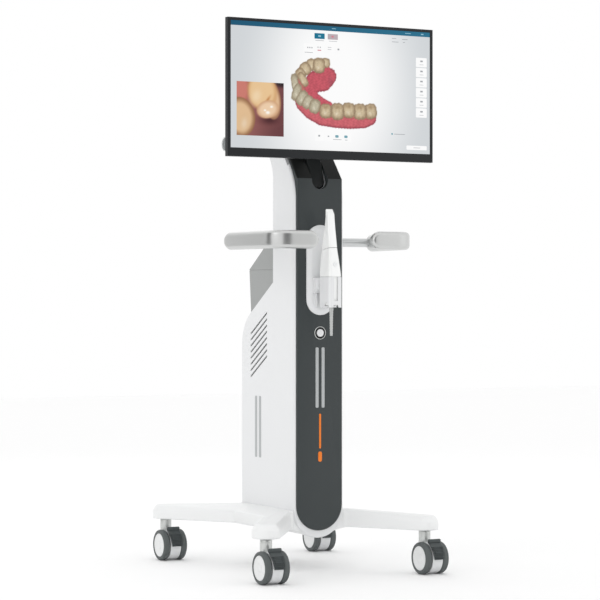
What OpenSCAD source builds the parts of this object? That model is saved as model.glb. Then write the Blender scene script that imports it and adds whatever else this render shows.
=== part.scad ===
// Mobile cart for an intraoral scanner: castored base, column, monitor, grips and scanner.
// Millimetres. +Z is up, the front faces -Y, and the origin is on the floor under the middle.

/* [Base] */
// Half the distance between the left and right castor stems
stem_x = 209; // [195:1:225]
// Half the distance between the front and rear castor stems
stem_y = 271.5; // [255:0.5:285]
// Height of the underside of the base
base_z = 101; // [100:1:104]
// Radius of the round end of each leg
leg_end_r = 32.5; // [28:0.5:36]
// Half the width of the base between its legs
waist_x = 116; // [100:1:124]

/* [Castors] */
// Diameter of the wheels
wheel_d = 75; // [70:1:76]
// Overall width over the two wheels of a castor
castor_w = 62; // [60:1:66]
// Width of one wheel
tread_w = 17; // [15:1:18]
// Horizontal distance from the swivel axis to the axle
castor_trail = 25; // [22:1:28]
// Outer radius of the brake pedal, about the axle
pedal_r = 42.5; // [41.5:0.5:44]

/* [Column] */
// Width of the column
col_w = 132; // [126:1:140]
// Width of the dark front panel
panel_w = 121.4; // [112:0.2:122]
// Thickness of the dark front panel
panel_t = 6.2; // [4:0.2:8]
// Y of the front face of the column frame
front_y = -118.8; // [-122:0.1:-116]
// Depth of the front frame, back to its seam
frame_d = 30; // [26:1:34]
// Y of the back of the upper column
upper_back_y = -11.7; // [-14:0.1:-8]
// Y of the back of the lower housing
box_back_y = 153.7; // [148:0.1:160]
// Height of the seam between base and column
seam_z = 145; // [143:1:148]
// Height of the top of the head
head_top_z = 1044; // [1036:1:1050]
// Wall thickness of the covers
wall = 3; // [2.5:0.1:3.5]

/* [Louvres] */
// Number of slots on each side
slot_n = 8; // [4:1:9]
// Length of a slot
slot_l = 102; // [80:1:106]
// Width of a slot
slot_w = 5; // [3:0.5:7]
// Vertical distance between slots
slot_pitch = 14.8; // [12:0.1:16]

/* [Monitor] */
// Width of the monitor
mon_w = 545; // [500:1:560]
// Height of the monitor
mon_h = 317; // [300:1:340]
// Height of the lower edge of the monitor
mon_z = 967; // [960:1:980]
// Y of the front face of the monitor
mon_y = -187; // [-190:1:-184]
// Width of the bezel at the sides
bezel_side = 8; // [6:0.5:12]
// Width of the bezel at the top
bezel_top = 7; // [6:0.5:12]
// Width of the bezel at the bottom
bezel_low = 20; // [14:0.5:24]

/* [Handles] */
// Height of the middle of the grips
grip_z = 778; // [772:1:784]
// Height of a grip's section
grip_h = 42; // [36:1:46]
// Thickness of a grip's section
grip_t = 22; // [22:1:26]
// Angle by which a grip's side arm toes in
grip_toe = 5; // [3:1:7]
// Y of the front arms of the grips
grip_front_y = -243; // [-246:1:-240]
// Distance from the middle to the free end of a grip
grip_gap = 70.6; // [66:0.2:80]
// Diameter of the handle bar
bar_d = 21; // [20:0.5:21.5]

/* [Scanner] */
// Height of the top of the cradle plate
cradle_top_z = 816; // [810:1:822]
// Height of the bottom of the cradle plate
cradle_low_z = 604; // [598:1:608]
// Half the width of the cradle plate
cradle_r = 37; // [34:1:42]
// Height of the top rim of the holder cup
cup_top_z = 693; // [690:1:696]
// Height of the bottom of the holder cup
cup_low_z = 622; // [618:1:626]

/* [Hidden] */
$fn = 64;

gap = 0.3;
col_x = col_w / 2;
panel_x = panel_w / 2;
cover_x = col_x - wall;
seam_y = front_y + frame_d;
// The base sits where the front pedals and the rear leg ends reach equally far.
base_y = (castor_trail + pedal_r - leg_end_r) / 2;
axle_z = wheel_d / 2;

// Base: wall and crown heights at the leg ends and at the column
end_wall_h = 20;
end_crown_h = 33;
waist_wall_h = 29;
crown_h = seam_z - base_z;
crown_inset = 9;
waist_y = 78;
root_x = 75;
root_y = 136.5;
hull_fn = 32;
hollow_x = 90;
hollow_y0 = -55;
hollow_y1 = 125;
hollow_h = 27;
ballast_t = 15;

// Castor stem and housing
stem_r = 5.5;
stem_top_z = 129;
stem_low_z = 48;
neck_r = 9.5;
neck_low_z = 95.5;
housing_r = 13.6;
housing_top_z = 88;
fork_r = 35.5;
fork_half = castor_w / 2 - tread_w - 0.6;
axle_r = 4;
run = 0.05;

// Column outline: the head leans back by head_lean from the vertical
head_lean = 40;
front_arc_r = 132;
front_arc_z = 875;
front_arc_y = front_y + front_arc_r;
back_arc_r = 88;
back_arc_z = 925;
back_arc_y = upper_back_y + back_arc_r;
shoulder_slope = 31.8;
shoulder_top_z = 681.7;
shoulder_arc_r = 90;
arc_n = 10;
head_corner = 14;

// Monitor arm and its tilt pivot
arm_half = 18;
slot_half = 21.5;
slot_end_z = 922;
pivot_y = -122;
pivot_z = 1110;
pivot_r = 16;
pin_r = 5;
ear_t = 6;
plate_t = 4;
mon_edge_t = 9;
mon_back_y = -151;
vesa_half = 50;
screw_r = 2;

// Mast
mast_x = 30;
mast_front_y = -85;
mast_back_y = -46;
mast_top_z = 930;
mast_t = 3;

// Push bar behind the head
push_r = 18;
push_half = 152;
push_y = 75;
push_z = 1014;

// Handle bar and grips
bar_r = bar_d / 2;
bar_y = -32;
bar_end_x = 190;
grip_start_x = 192.5;
grip_start_y = -20.5;
grip_bend_r = 28;
grip_corner_r = 10;
// The elbow is a little fuller than the two arms that run into it.
elbow_grow = 0.2;
arm_run = (grip_start_y - grip_front_y) / cos(grip_toe);
bend_turn = 90 - grip_toe;
bend_tangent = grip_bend_r * tan(bend_turn / 2);
side_arm_l = arm_run - bend_tangent;

// Cradle and scanner
panel_front_y = front_y - panel_t;
cradle_t = 9;
cup_x = 17;
cup_front_y = -203;
cup_back_y = -149;
cup_t = 2.4;
tip_z = 761;
tip_top_z = 852;
boot_y = -180;

// Power button
button_z = 562;
button_r = 9;
ring_r = 15.2;
ring_t = 1.2;

// Rear bin
bin_x = 62;
bin_t = 2.5;
bin_slope = 32;
bin_back_y = 121.3;
bin_back_z = 713.7;
bin_foot_y = 112;
hinge_y = -6;
hinge_z = 788;
lid_t = 3;
lid_l = 143;

function arc(cy, cz, r, a0, a1, n) =
    [for (i = [0:n]) let (a = a0 + (a1 - a0) * i / n) [cy + r * cos(a), cz + r * sin(a)]];

// A column edge: straight, then an arc about the arc centre, then straight at the head's lean.
function lean_y(cy, cz, r, z) = cy - r * cos(head_lean) + (z - cz - r * sin(head_lean)) * tan(head_lean);

// Front edge of the column, from the bottom up, moved back by t
function front_edge(t, low_z) = concat(
    [[front_y + t, low_z]],
    arc(front_arc_y, front_arc_z, front_arc_r - t, 180, 180 - head_lean, arc_n),
    [[lean_y(front_arc_y, front_arc_z, front_arc_r - t, head_top_z - t / 3), head_top_z - t / 3]]);

// Rear edge of the column, from the top of the head down, moved in by t
function shoulder_z(y) = shoulder_top_z - (y - upper_back_y) * tan(shoulder_slope);
function back_edge(t) = concat(
    [[lean_y(back_arc_y, back_arc_z, back_arc_r + t, head_top_z - t) - head_corner, head_top_z - t],
     [lean_y(back_arc_y, back_arc_z, back_arc_r + t, head_top_z - head_corner),
      head_top_z - head_corner]],
    arc(back_arc_y, back_arc_z, back_arc_r + t, 180 - head_lean, 180, arc_n),
    [[upper_back_y - t, shoulder_top_z - t / cos(shoulder_slope) + t * tan(shoulder_slope)]],
    arc(box_back_y - shoulder_arc_r, shoulder_arc_z, shoulder_arc_r - t,
        90 - shoulder_slope, 0, arc_n),
    [[box_back_y - t, seam_z]]);
// The shoulder's round corner touches both the slope and the upright back.
shoulder_arc_z = shoulder_z(box_back_y) - shoulder_arc_r * tan((90 - shoulder_slope) / 2);

module yz_slab(x0, x1) {
    translate([x0, 0, 0])
        rotate([90, 0, 90])
            linear_extrude(x1 - x0) children();
}

module xz_slab(y0, y1) {
    translate([0, y1, 0])
        rotate([90, 0, 0])
            linear_extrude(y1 - y0) children();
}

module x_rod(r, x0, x1, y, z) {
    translate([x0, y, z])
        rotate([0, 90, 0])
            cylinder(r = r, h = x1 - x0);
}

module y_rod(r, y0, y1, x, z) {
    translate([x, y1, z])
        rotate([90, 0, 0])
            cylinder(r = r, h = y1 - y0);
}

module block(x0, x1, y0, y1, z0, z1) {
    translate([x0, y0, z0])
        cube([x1 - x0, y1 - y0, z1 - z0]);
}

module round_rect(w, h, r) {
    square([w - 2 * r, h], center = true);
    square([w, h - 2 * r], center = true);
    for (sx = [-1, 1], sy = [-1, 1])
        translate([sx * (w / 2 - r), sy * (h / 2 - r)])
            circle(r);
}

module at_stems() {
    for (sx = [-1, 1], sy = [-1, 1])
        translate([sx * stem_x, base_y + sy * stem_y, 0])
            children();
}

// ---- Base ----

module base_outline(inset) {
    x = waist_x - inset;
    y = waist_y - inset / 2;
    rx = root_x - inset;
    ry = root_y - inset / 2;
    translate([0, base_y])
        polygon([[-x, -y], [-rx, -ry], [rx, -ry], [x, -y], [x, y], [rx, ry], [-rx, ry], [-x, y]]);
}

module leg(sx, sy) {
    hull() {
        translate([sx * stem_x, base_y + sy * stem_y, base_z]) {
            cylinder(r = leg_end_r, h = end_wall_h, $fn = hull_fn);
            cylinder(r = leg_end_r - crown_inset, h = end_crown_h, $fn = hull_fn);
        }
        translate([0, base_y, base_z]) {
            linear_extrude(waist_wall_h)
                polygon([[sx * waist_x, sy * waist_y], [sx * root_x, sy * root_y],
                         [sx * 60, sy * 60]]);
            linear_extrude(crown_h)
                polygon([[sx * (col_x + 2), sy * waist_y], [sx * (col_x + 1), sy * (root_y - 16)],
                         [sx * 55, sy * 60]]);
        }
    }
}

module base_casting() {
    color("white")
        difference() {
            union() {
                for (sx = [-1, 1], sy = [-1, 1])
                    leg(sx, sy);
                hull() {
                    translate([0, 0, base_z])
                        linear_extrude(waist_wall_h) base_outline(0);
                    block(-col_x - 2, col_x + 2, base_y - root_y, base_y + root_y + 2,
                          base_z + 8, seam_z);
                }
            }
            block(-col_x - gap, col_x + gap, front_y - 60, seam_y + gap, base_z - 1, seam_z + 1);
            at_stems()
                translate([0, 0, base_z - 1])
                    cylinder(r = stem_r, h = stem_top_z - base_z + 1);
            // Hollow under the middle, with the ballast at its roof
            block(-hollow_x, hollow_x, hollow_y0, hollow_y1, base_z - 1, base_z + hollow_h);
        }
}

module ballast_plate() {
    color("dimgray")
        block(-hollow_x + 8, hollow_x - 8, hollow_y0 + 8, hollow_y1 - 8,
              base_z + hollow_h - ballast_t, base_z + hollow_h);
}

// ---- Castors ----

module castor_stems() {
    color("silver")
        at_stems() {
            translate([0, 0, stem_low_z])
                cylinder(r = stem_r, h = stem_top_z - stem_low_z);
            translate([0, 0, neck_low_z])
                cylinder(r = neck_r, h = base_z - neck_low_z);
        }
}

module at_castor(sx, sy) {
    translate([sx * stem_x, base_y + sy * stem_y, 0])
        children();
}

module fork() {
    color("gainsboro")
        difference() {
            union() {
                intersection() {
                    x_rod(fork_r, -fork_half, fork_half, -castor_trail, axle_z);
                    block(-20, 20, -70, 20, 5, 80);
                }
                translate([0, 0, 44])
                    cylinder(r = fork_half, h = 20);
                translate([0, 0, 62])
                    cylinder(r = housing_r, h = housing_top_z - 62);
                translate([0, 0, housing_top_z])
                    cylinder(r1 = housing_r, r2 = neck_r, h = 4);
                translate([0, 0, housing_top_z + 4])
                    cylinder(r = neck_r, h = neck_low_z - gap - housing_top_z - 4);
            }
            translate([0, 0, stem_low_z - gap])
                cylinder(r = stem_r + run, h = 60);
            x_rod(axle_r, -30, 30, -castor_trail, axle_z);
            x_rod(pedal_pin_r, -30, 30, pedal_pivot_y, pedal_pivot_z);
            // A slot between two cheeks takes the pedal's lug.
            yz_slab(-lug_half - 0.5, lug_half + 0.5)
                polygon([[-castor_trail - 60, axle_z + 7], [-castor_trail - 28, axle_z + 7],
                         [-castor_trail - 12, axle_z + 17], [-castor_trail - 8, axle_z + 50],
                         [-castor_trail - 60, axle_z + 50]]);
        }
}

module axle() {
    color("silver") {
        x_rod(axle_r, -castor_w / 2 + 5, castor_w / 2 - 5, -castor_trail, axle_z);
        x_rod(pedal_pin_r, -fork_half, fork_half, pedal_pivot_y, pedal_pivot_z);
    }
}

// One wheel is a tyre with a rounded tread on a hub disc.
module tyre_ring() {
    rotate_extrude()
        polygon(concat(
            [[axle_z - 9, 0], [axle_z - 4, 0]],
            [for (i = [1:5]) let (a = -90 + 18 * i)
                [axle_z - 4 + 4 * cos(a), 4 + 4 * sin(a)]],
            [for (i = [0:4]) let (a = 18 * i)
                [axle_z - 4 + 4 * cos(a), tread_w - 4 + 4 * sin(a)]],
            [[axle_z - 4, tread_w], [axle_z - 7.5, tread_w], [axle_z - 9, tread_w - 1.5]]));
}

module hub_disc() {
    difference() {
        rotate_extrude()
            polygon([[0, 2], [axle_z - 9, 2], [axle_z - 9, tread_w - 1.6], [axle_z - 13, tread_w - 0.6],
                     [0, tread_w - 2.2]]);
        translate([0, 0, -1])
            cylinder(r = axle_r + run, h = tread_w - 3.4);
    }
}

module both_wheels() {
    for (s = [-1, 1])
        translate([s * (castor_w / 2 - tread_w), -castor_trail, axle_z])
            rotate([0, s * 90, 0])
                children();
}

module tyres() {
    color("dimgray") both_wheels() tyre_ring();
}

module hubs() {
    color("whitesmoke") both_wheels() hub_disc();
}

// The pedal is a curved plate over the front of the wheels, hung on a lug between them.
pedal_in_r = pedal_r - 3.6;
pedal_half = 14.6;
pedal_pin_r = 2;
lug_half = 8;
pedal_pivot_y = -castor_trail - 20;
pedal_pivot_z = axle_z + 24;

module pedal() {
    color("dimgray")
        difference() {
            union() {
                yz_slab(-pedal_half, pedal_half)
                    polygon(concat(
                        arc(-castor_trail, axle_z, pedal_r, 181, 124, 12),
                        [[-castor_trail - 16, axle_z + 45], [-castor_trail - 14, axle_z + 42.5]],
                        arc(-castor_trail, axle_z, pedal_in_r, 115, 181, 12)));
                intersection() {
                    x_rod(pedal_in_r + 1, -lug_half, lug_half, -castor_trail, axle_z);
                    yz_slab(-lug_half, lug_half)
                        polygon([[-castor_trail - 42, axle_z + 12], [-castor_trail - 31, axle_z + 12],
                                 [-castor_trail - 16, axle_z + 20], [-castor_trail - 12, axle_z + 42],
                                 [-castor_trail - 42, axle_z + 42]]);
                }
            }
            x_rod(pedal_pin_r + run, -20, 20, pedal_pivot_y, pedal_pivot_z);
        }
}

module fork_front_left() { at_castor(-1, -1) fork(); }
module axle_front_left() { at_castor(-1, -1) axle(); }
module tyres_front_left() { at_castor(-1, -1) tyres(); }
module hubs_front_left() { at_castor(-1, -1) hubs(); }
module pedal_front_left() { at_castor(-1, -1) pedal(); }
module fork_front_right() { at_castor(1, -1) fork(); }
module axle_front_right() { at_castor(1, -1) axle(); }
module tyres_front_right() { at_castor(1, -1) tyres(); }
module hubs_front_right() { at_castor(1, -1) hubs(); }
module pedal_front_right() { at_castor(1, -1) pedal(); }
module fork_rear_left() { at_castor(-1, 1) fork(); }
module axle_rear_left() { at_castor(-1, 1) axle(); }
module tyres_rear_left() { at_castor(-1, 1) tyres(); }
module hubs_rear_left() { at_castor(-1, 1) hubs(); }
module pedal_rear_left() { at_castor(-1, 1) pedal(); }
module fork_rear_right() { at_castor(1, 1) fork(); }
module axle_rear_right() { at_castor(1, 1) axle(); }
module tyres_rear_right() { at_castor(1, 1) tyres(); }
module hubs_rear_right() { at_castor(1, 1) hubs(); }
module pedal_rear_right() { at_castor(1, 1) pedal(); }

// ---- Column ----

module mast() {
    color("silver")
        difference() {
            union() {
                block(-mast_x, mast_x, mast_front_y, mast_back_y, seam_z, mast_top_z);
                block(-mast_x - 22, mast_x + 22, seam_y + 4, mast_back_y + 30, seam_z, seam_z + 8);
            }
            block(-mast_x + mast_t, mast_x - mast_t, mast_front_y + mast_t, mast_back_y - mast_t,
                  seam_z - 1, mast_top_z + 1);
        }
}

module front_outline(half, low_z, top_z) {
    translate([0, low_z + half])
        circle(half);
    translate([-half, low_z + half])
        square([2 * half, top_z - low_z - half]);
}

// Round-ended slot in the head that the monitor arm stands in
module arm_slot() {
    xz_slab(-150, 80) {
        translate([0, slot_end_z])
            circle(slot_half);
        translate([-slot_half, slot_end_z])
            square([2 * slot_half, 200]);
    }
}

frame_low_z = seam_z - col_x;
panel_low_z = frame_low_z + 17.5;

module front_frame() {
    color("white")
        difference() {
            intersection() {
                yz_slab(-col_x, col_x)
                    polygon(concat(front_edge(0, frame_low_z - 1),
                                   reverse(front_edge(frame_d, frame_low_z - 1))));
                xz_slab(-200, 100) front_outline(col_x, frame_low_z, 1200);
            }
            yz_slab(-cover_x, cover_x)
                polygon(concat(front_edge(5, seam_z),
                               reverse(front_edge(frame_d + 1, seam_z))));
            arm_slot();
            y_rod(button_r + gap, -200, 0, 0, button_z);
        }
}

// Closes the back of the slot
module slot_liner() {
    low_y = lean_y(front_arc_y, front_arc_z, front_arc_r - frame_d - gap, 936);
    top_y = lean_y(front_arc_y, front_arc_z, front_arc_r - frame_d - gap, head_front_z - 6);
    color("darkslategray")
        yz_slab(-28, 28)
            polygon([[low_y, 936], [top_y, head_front_z - 6], [top_y + 3, head_front_z - 6],
                     [low_y + 3, 936]]);
}

function reverse(v) = [for (i = [len(v) - 1:-1:0]) v[i]];

// The panel's face is upright to a crease, then leans back with the head.
panel_lean_y = lean_y(front_arc_y, front_arc_z, front_arc_r, head_top_z)
    - panel_t / cos(head_lean);
crease_z = head_top_z - (panel_lean_y - panel_front_y) / tan(head_lean);

module front_panel() {
    color("darkslategray")
        difference() {
            intersection() {
                yz_slab(-panel_x, panel_x)
                    polygon(concat([[panel_front_y, panel_low_z - 1], [panel_front_y, crease_z],
                                    [panel_lean_y, head_top_z]],
                                   reverse(front_edge(0, panel_low_z - 1))));
                xz_slab(-200, 100) front_outline(panel_x, panel_low_z, 1200);
            }
            arm_slot();
            y_rod(button_r + gap, -200, 0, 0, button_z);
        }
}

module side_outline() {
    polygon(concat(front_edge(frame_d, seam_z), back_edge(0)));
}

// First slot's middle, and the slots' tilt
slot_y = 63.5;
slot_z = 583;
slot_tilt = -31;

module slots() {
    for (i = [0:slot_n - 1])
        translate([slot_y, slot_z - i * slot_pitch])
            rotate(slot_tilt) {
                square([slot_l - slot_w, slot_w], center = true);
                for (s = [-1, 1])
                    translate([s * (slot_l - slot_w) / 2, 0])
                        circle(slot_w / 2);
            }
}

module side_shell() {
    difference() {
        yz_slab(cover_x, col_x) side_outline();
        yz_slab(cover_x - 1, col_x + 1) slots();
        x_rod(bar_r + gap, cover_x - 1, col_x + 1, bar_y, grip_z);
    }
}

module side_shell_right() { color("white") side_shell(); }
module side_shell_left() { color("white") mirror([1, 0, 0]) side_shell(); }

inlet_z = 190;
// Where the top of the head meets the back of the front frame
head_front_z = head_top_z - frame_d / 3;
head_front_y = lean_y(front_arc_y, front_arc_z, front_arc_r - frame_d, head_front_z);

module rear_cover() {
    color("white")
        difference() {
            yz_slab(-cover_x, cover_x)
                polygon(concat([[head_front_y, head_front_z]], back_edge(0),
                               reverse(back_edge(wall)), [[head_front_y, head_front_z - wall]]));
            block(-24.5, 24.5, box_back_y - 10, box_back_y + 5, inlet_z - 14.5, inlet_z + 14.5);
        }
}

module vent_screens() {
    color("dimgray")
        for (s = [-1, 1])
            translate([s * (cover_x - 1), 0, 0])
                yz_slab(-1, 1)
                    polygon([[8, 500], [118, 434], [118, 566], [8, 632]]);
}

module computer_unit() {
    color("slategray")
        block(-50, 50, 20, 140, seam_z, 400);
}

module power_supply() {
    color("dimgray")
        block(-45, 45, 30, 130, 400, 470);
}

module power_inlet() {
    color("black")
        difference() {
            union() {
                block(-24, 24, box_back_y - 9, box_back_y, inlet_z - 14, inlet_z + 14);
                block(-28, 28, box_back_y, box_back_y + 2, inlet_z - 18, inlet_z + 18);
            }
            block(-12.5, 12.5, box_back_y - 7, box_back_y + 3, inlet_z - 8.5, inlet_z + 8.5);
        }
}

module grey_inlays() {
    color("gray") {
        for (s = [-1, 1])
            block(s * 8 - 4, s * 8 + 4, panel_front_y - 0.5, panel_front_y, 386, 528);
        for (s = [-1, 1], y = [51, 72])
            translate([s * (col_x + 0.25), 0, 0])
                block(-0.25, 0.25, y, y + 11, 260, 408);
    }
}

module orange_inlays() {
    color("orange") {
        block(-2.5, 2.5, panel_front_y - 0.5, panel_front_y, 290, 372);
        block(-5, 5, panel_front_y - 0.5, panel_front_y, 259, 283);
    }
}

module button_ring() {
    color("gray")
        difference() {
            y_rod(ring_r, panel_front_y - ring_t, panel_front_y, 0, button_z);
            y_rod(button_r + gap, panel_front_y - 5, panel_front_y + 1, 0, button_z);
        }
}

module power_button() {
    color("white")
        y_rod(button_r, panel_front_y - 2.6, front_y + 2, 0, button_z);
}

// ---- Push bar ----

module push_bar() {
    color("silver")
        difference() {
            x_rod(push_r, -push_half, push_half, push_y, push_z);
            x_rod(push_r - 3, -push_half - 1, push_half + 1, push_y, push_z);
            // A shallow seat for each bracket
            for (s = [-1, 1])
                difference() {
                    x_rod(push_r + 2, s * 40 - 6, s * 40 + 6, push_y, push_z);
                    x_rod(push_r - 0.5, s * 40 - 7, s * 40 + 7, push_y, push_z);
                }
        }
}

module push_bar_plugs() {
    color("black")
        for (s = [-1, 1])
            x_rod(push_r - 3, s * (push_half - 8) - 6, s * (push_half - 8) + 6, push_y, push_z);
}

module push_bar_brackets() {
    color("white")
        difference() {
            for (s = [-1, 1])
                translate([s * 40, 0, 0])
                    yz_slab(-6, 6)
                        polygon([[lean_y(back_arc_y, back_arc_z, back_arc_r, push_z - 16),
                                  push_z - 16],
                                 [push_y, push_z - push_r + 2], [push_y, push_z + 4],
                                 [lean_y(back_arc_y, back_arc_z, back_arc_r, push_z + 12),
                                  push_z + 12]]);
            x_rod(push_r - 0.5, -80, 80, push_y, push_z);
        }
}

// ---- Handle bar and grips ----

module grip_section(grow = 0) {
    round_rect(grip_t + 2 * grow, grip_h + 2 * grow, grip_corner_r + grow);
}

module at_grip_start() {
    translate([grip_start_x, grip_start_y, grip_z])
        rotate([90, 0, -grip_toe])
            children();
}

module handle_bar() {
    color("silver") {
        x_rod(bar_r, -bar_end_x, bar_end_x, bar_y, grip_z);
        for (s = [-1, 1])
            x_rod(16, s * (col_x + 3) - 3, s * (col_x + 3) + 3, bar_y, grip_z);
    }
}

// The side arm runs forward from the bar, and the front arm runs back to the middle.
grip_bend_x = grip_start_x - side_arm_l * sin(grip_toe) - grip_bend_r * cos(grip_toe);
grip_bend_y = grip_start_y - side_arm_l * cos(grip_toe) + grip_bend_r * sin(grip_toe);

module grip() {
    difference() {
        union() {
            at_grip_start()
                linear_extrude(side_arm_l + 1) grip_section();
            translate([grip_bend_x, grip_bend_y, grip_z])
                rotate([0, 0, -90])
                    rotate_extrude(angle = bend_turn)
                        translate([grip_bend_r, 0]) grip_section(elbow_grow);
            translate([grip_gap, grip_bend_y - grip_bend_r, grip_z])
                rotate([90, 0, 90])
                    linear_extrude(grip_bend_x - grip_gap + 1) grip_section();
        }
        x_rod(bar_r, 0, bar_end_x, bar_y, grip_z);
    }
}

module grip_right() { color("darkgray") grip(); }
module grip_left() { color("darkgray") mirror([1, 0, 0]) grip(); }

// ---- Cradle and scanner ----

module cradle_plate() {
    color("white")
        xz_slab(panel_front_y - cradle_t, panel_front_y) {
            for (z = [cradle_low_z + cradle_r, cradle_top_z - cradle_r])
                translate([0, z])
                    circle(cradle_r);
            translate([-cradle_r, cradle_low_z + cradle_r])
                square([2 * cradle_r, cradle_top_z - cradle_low_z - 2 * cradle_r]);
        }
}

module cup_ring(grow, z0, z1) {
    translate([0, (cup_front_y + cup_back_y) / 2, z0])
        linear_extrude(z1 - z0)
            round_rect(2 * (cup_x + grow), cup_back_y - cup_front_y + 2 * grow, 7 + grow);
}

module cradle_cup() {
    color("white")
        difference() {
            union() {
                cup_ring(0, cup_low_z, cup_top_z);
                yz_slab(-24, 24)
                    polygon([[cup_back_y - 1, 664], [cup_back_y + 7, 656],
                             [panel_front_y - cradle_t, 656], [panel_front_y - cradle_t, 691],
                             [cup_back_y - 1, 691]]);
            }
            cup_ring(-cup_t, cup_low_z + 4, cup_top_z + 1);
            translate([0, boot_y, cup_low_z - 1])
                cylinder(r = 8, h = 10);
            // Slot down the front, and arches in the bottom edge at the sides and the front
            block(-5.3, 5.3, cup_front_y - 5, cup_front_y + 8, cup_low_z + 16, cup_top_z + 1);
            x_rod(12, -30, 30, cup_front_y + 17, cup_low_z);
            y_rod(9, cup_front_y - 5, cup_front_y + 10, 0, cup_low_z - 2);
        }
}

// A level section of the scanner: half width, front and back
module scanner_section(w, y0, y1, z) {
    translate([0, (y0 + y1) / 2, z])
        linear_extrude(0.4)
            round_rect(2 * w, y1 - y0, min(w * 0.38, (y1 - y0) * 0.4), $fn = 20);
}

scan_button_z = 722;
nose_x = 7;
nose_y0 = -180;
nose_y1 = -165;
nose_z = 800;

module scanner_body() {
    color("white")
        difference() {
            union() {
                cup_ring(-cup_t - 0.4, cup_low_z + 4.5, cup_top_z + 1);
                hull() {
                    scanner_section(16.3, -202.5, -149.5, cup_top_z + gap);
                    scanner_section(15.6, -200.5, -149.8, cup_top_z + 12);
                }
                hull() {
                    scanner_section(15.6, -200.5, -149.8, cup_top_z + 12);
                    scanner_section(10.8, -191.2, -151.3, tip_z - 0.7);
                }
                // Nose that the pull-off tip slides over
                block(-nose_x, nose_x, nose_y0, nose_y1, tip_z - 2, nose_z);
            }
            y_rod(5.3, -210, -189, 0, scan_button_z);
            translate([0, boot_y, cup_low_z + 4])
                cylinder(r = 4.2, h = 8);
        }
}

module scanner_button() {
    color("gainsboro")
        y_rod(5, -200, -191, 0, scan_button_z);
}

module scanner_tip() {
    color("white")
        difference() {
            union() {
                hull() {
                    scanner_section(10.8, -191.2, -151.3, tip_z);
                    scanner_section(9.7, -184, -162, 806);
                }
                hull() {
                    scanner_section(9.7, -184, -162, 806);
                    scanner_section(9, -181, -166.5, 840);
                    translate([-8, -171, tip_top_z - 1])
                        cube([16, 4, 1]);
                }
            }
            block(-nose_x - gap, nose_x + gap, nose_y0 - gap, nose_y1 + gap, tip_z - 1, nose_z + 8);
            // Scanning window, in the face turned to the column
            block(-6, 6, -169, -150, 824, 842);
        }
}

module cable_boot() {
    color("gray")
        difference() {
            union() {
                translate([0, boot_y, cup_low_z - 4])
                    cylinder(r = 4.2, h = 16);
                translate([0, boot_y, 556])
                    cylinder(r1 = 3, r2 = 4.2, h = cup_low_z - 4 - 556);
            }
            translate([0, boot_y, 555])
                cylinder(r = 1.9, h = 20);
        }
}

// ---- Rear bin ----

module bin_side(t) {
    polygon([[upper_back_y + gap + t, shoulder_z(upper_back_y) + gap + t],
             [bin_foot_y - t, shoulder_z(bin_foot_y) + gap + t],
             [bin_back_y - t, bin_back_z],
             [hinge_y + 5 * (1 - min(t, 1)), hinge_z + 5.4 + (t > 0 ? 20 : 0)],
             [upper_back_y + gap + t, hinge_z + 5.4 + (t > 0 ? 20 : 0)]]);
}

module rear_bin() {
    color("gray")
        difference() {
            yz_slab(-bin_x, bin_x) bin_side(0);
            yz_slab(-bin_x + bin_t, bin_x - bin_t)
                polygon([[upper_back_y + gap + bin_t, shoulder_z(upper_back_y) + gap + bin_t],
                         [bin_foot_y - bin_t, shoulder_z(bin_foot_y) + gap + bin_t + 2],
                         [bin_back_y - bin_t, bin_back_z], [bin_back_y - bin_t, bin_back_z + 20],
                         [upper_back_y + gap + bin_t, hinge_z + 90]]);
            block(-bin_x + bin_t, bin_x - bin_t, upper_back_y, hinge_y + 5, hinge_z - 6, hinge_z + 9);
            x_rod(2.5 + run, -bin_x - 1, bin_x + 1, hinge_y, hinge_z);
        }
}

module bin_lid() {
    lid_x = bin_x - bin_t - 0.4;
    color("lightgray") {
        x_rod(4.5, -lid_x, lid_x, hinge_y, hinge_z);
        x_rod(2.5, -bin_x, bin_x, hinge_y, hinge_z);
        translate([0, hinge_y, hinge_z])
            rotate([-bin_slope, 0, 0])
                block(-lid_x, lid_x, 0, lid_l, 1, 1 + lid_t);
    }
}

// ---- Monitor ----

module monitor_arm() {
    color("darkslategray")
        difference() {
            union() {
                intersection() {
                    yz_slab(-arm_half, arm_half)
                        polygon([[-117, 902], [-95, 975], [-93, 1035], [pivot_y - 13, pivot_z - 9],
                                 [pivot_y + 10, pivot_z + 12], [-64, 1045], [-64, 975],
                                 [mast_front_y, 932], [mast_front_y, 902]]);
                    // The foot is round, to stand in the slot's round end.
                    xz_slab(-150, 0) {
                        translate([0, slot_end_z])
                            circle(arm_half);
                        translate([-arm_half, slot_end_z])
                            square([2 * arm_half, 220]);
                    }
                }
                x_rod(pivot_r, -arm_half, arm_half, pivot_y, pivot_z);
            }
            x_rod(pin_r, -40, 40, pivot_y, pivot_z);
        }
}

module tilt_pin() {
    color("silver")
        x_rod(pin_r, -arm_half - ear_t - 6, arm_half + ear_t + 6, pivot_y, pivot_z);
}

module mon_slab(x, z0, z1, y0, y1) {
    block(-x, x, y0, y1, z0, z1);
}

module monitor_frame() {
    color("black")
        difference() {
            mon_slab(mon_w / 2, mon_z, mon_z + mon_h, mon_y, mon_y + mon_edge_t);
            mon_slab(mon_w / 2 - bezel_side, mon_z + bezel_low, mon_z + mon_h - bezel_top,
                     mon_y - 1, mon_y + mon_edge_t + 1);
        }
}

module display_panel() {
    color("lightsteelblue")
        mon_slab(mon_w / 2 - bezel_side - 0.1, mon_z + bezel_low + 0.1,
                 mon_z + mon_h - bezel_top - 0.1, mon_y + 0.8, mon_y + mon_edge_t);
}

module at_vesa() {
    for (sx = [-1, 1], sz = [-1, 1])
        translate([sx * vesa_half, 0, pivot_z + sz * vesa_half])
            children();
}

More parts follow.
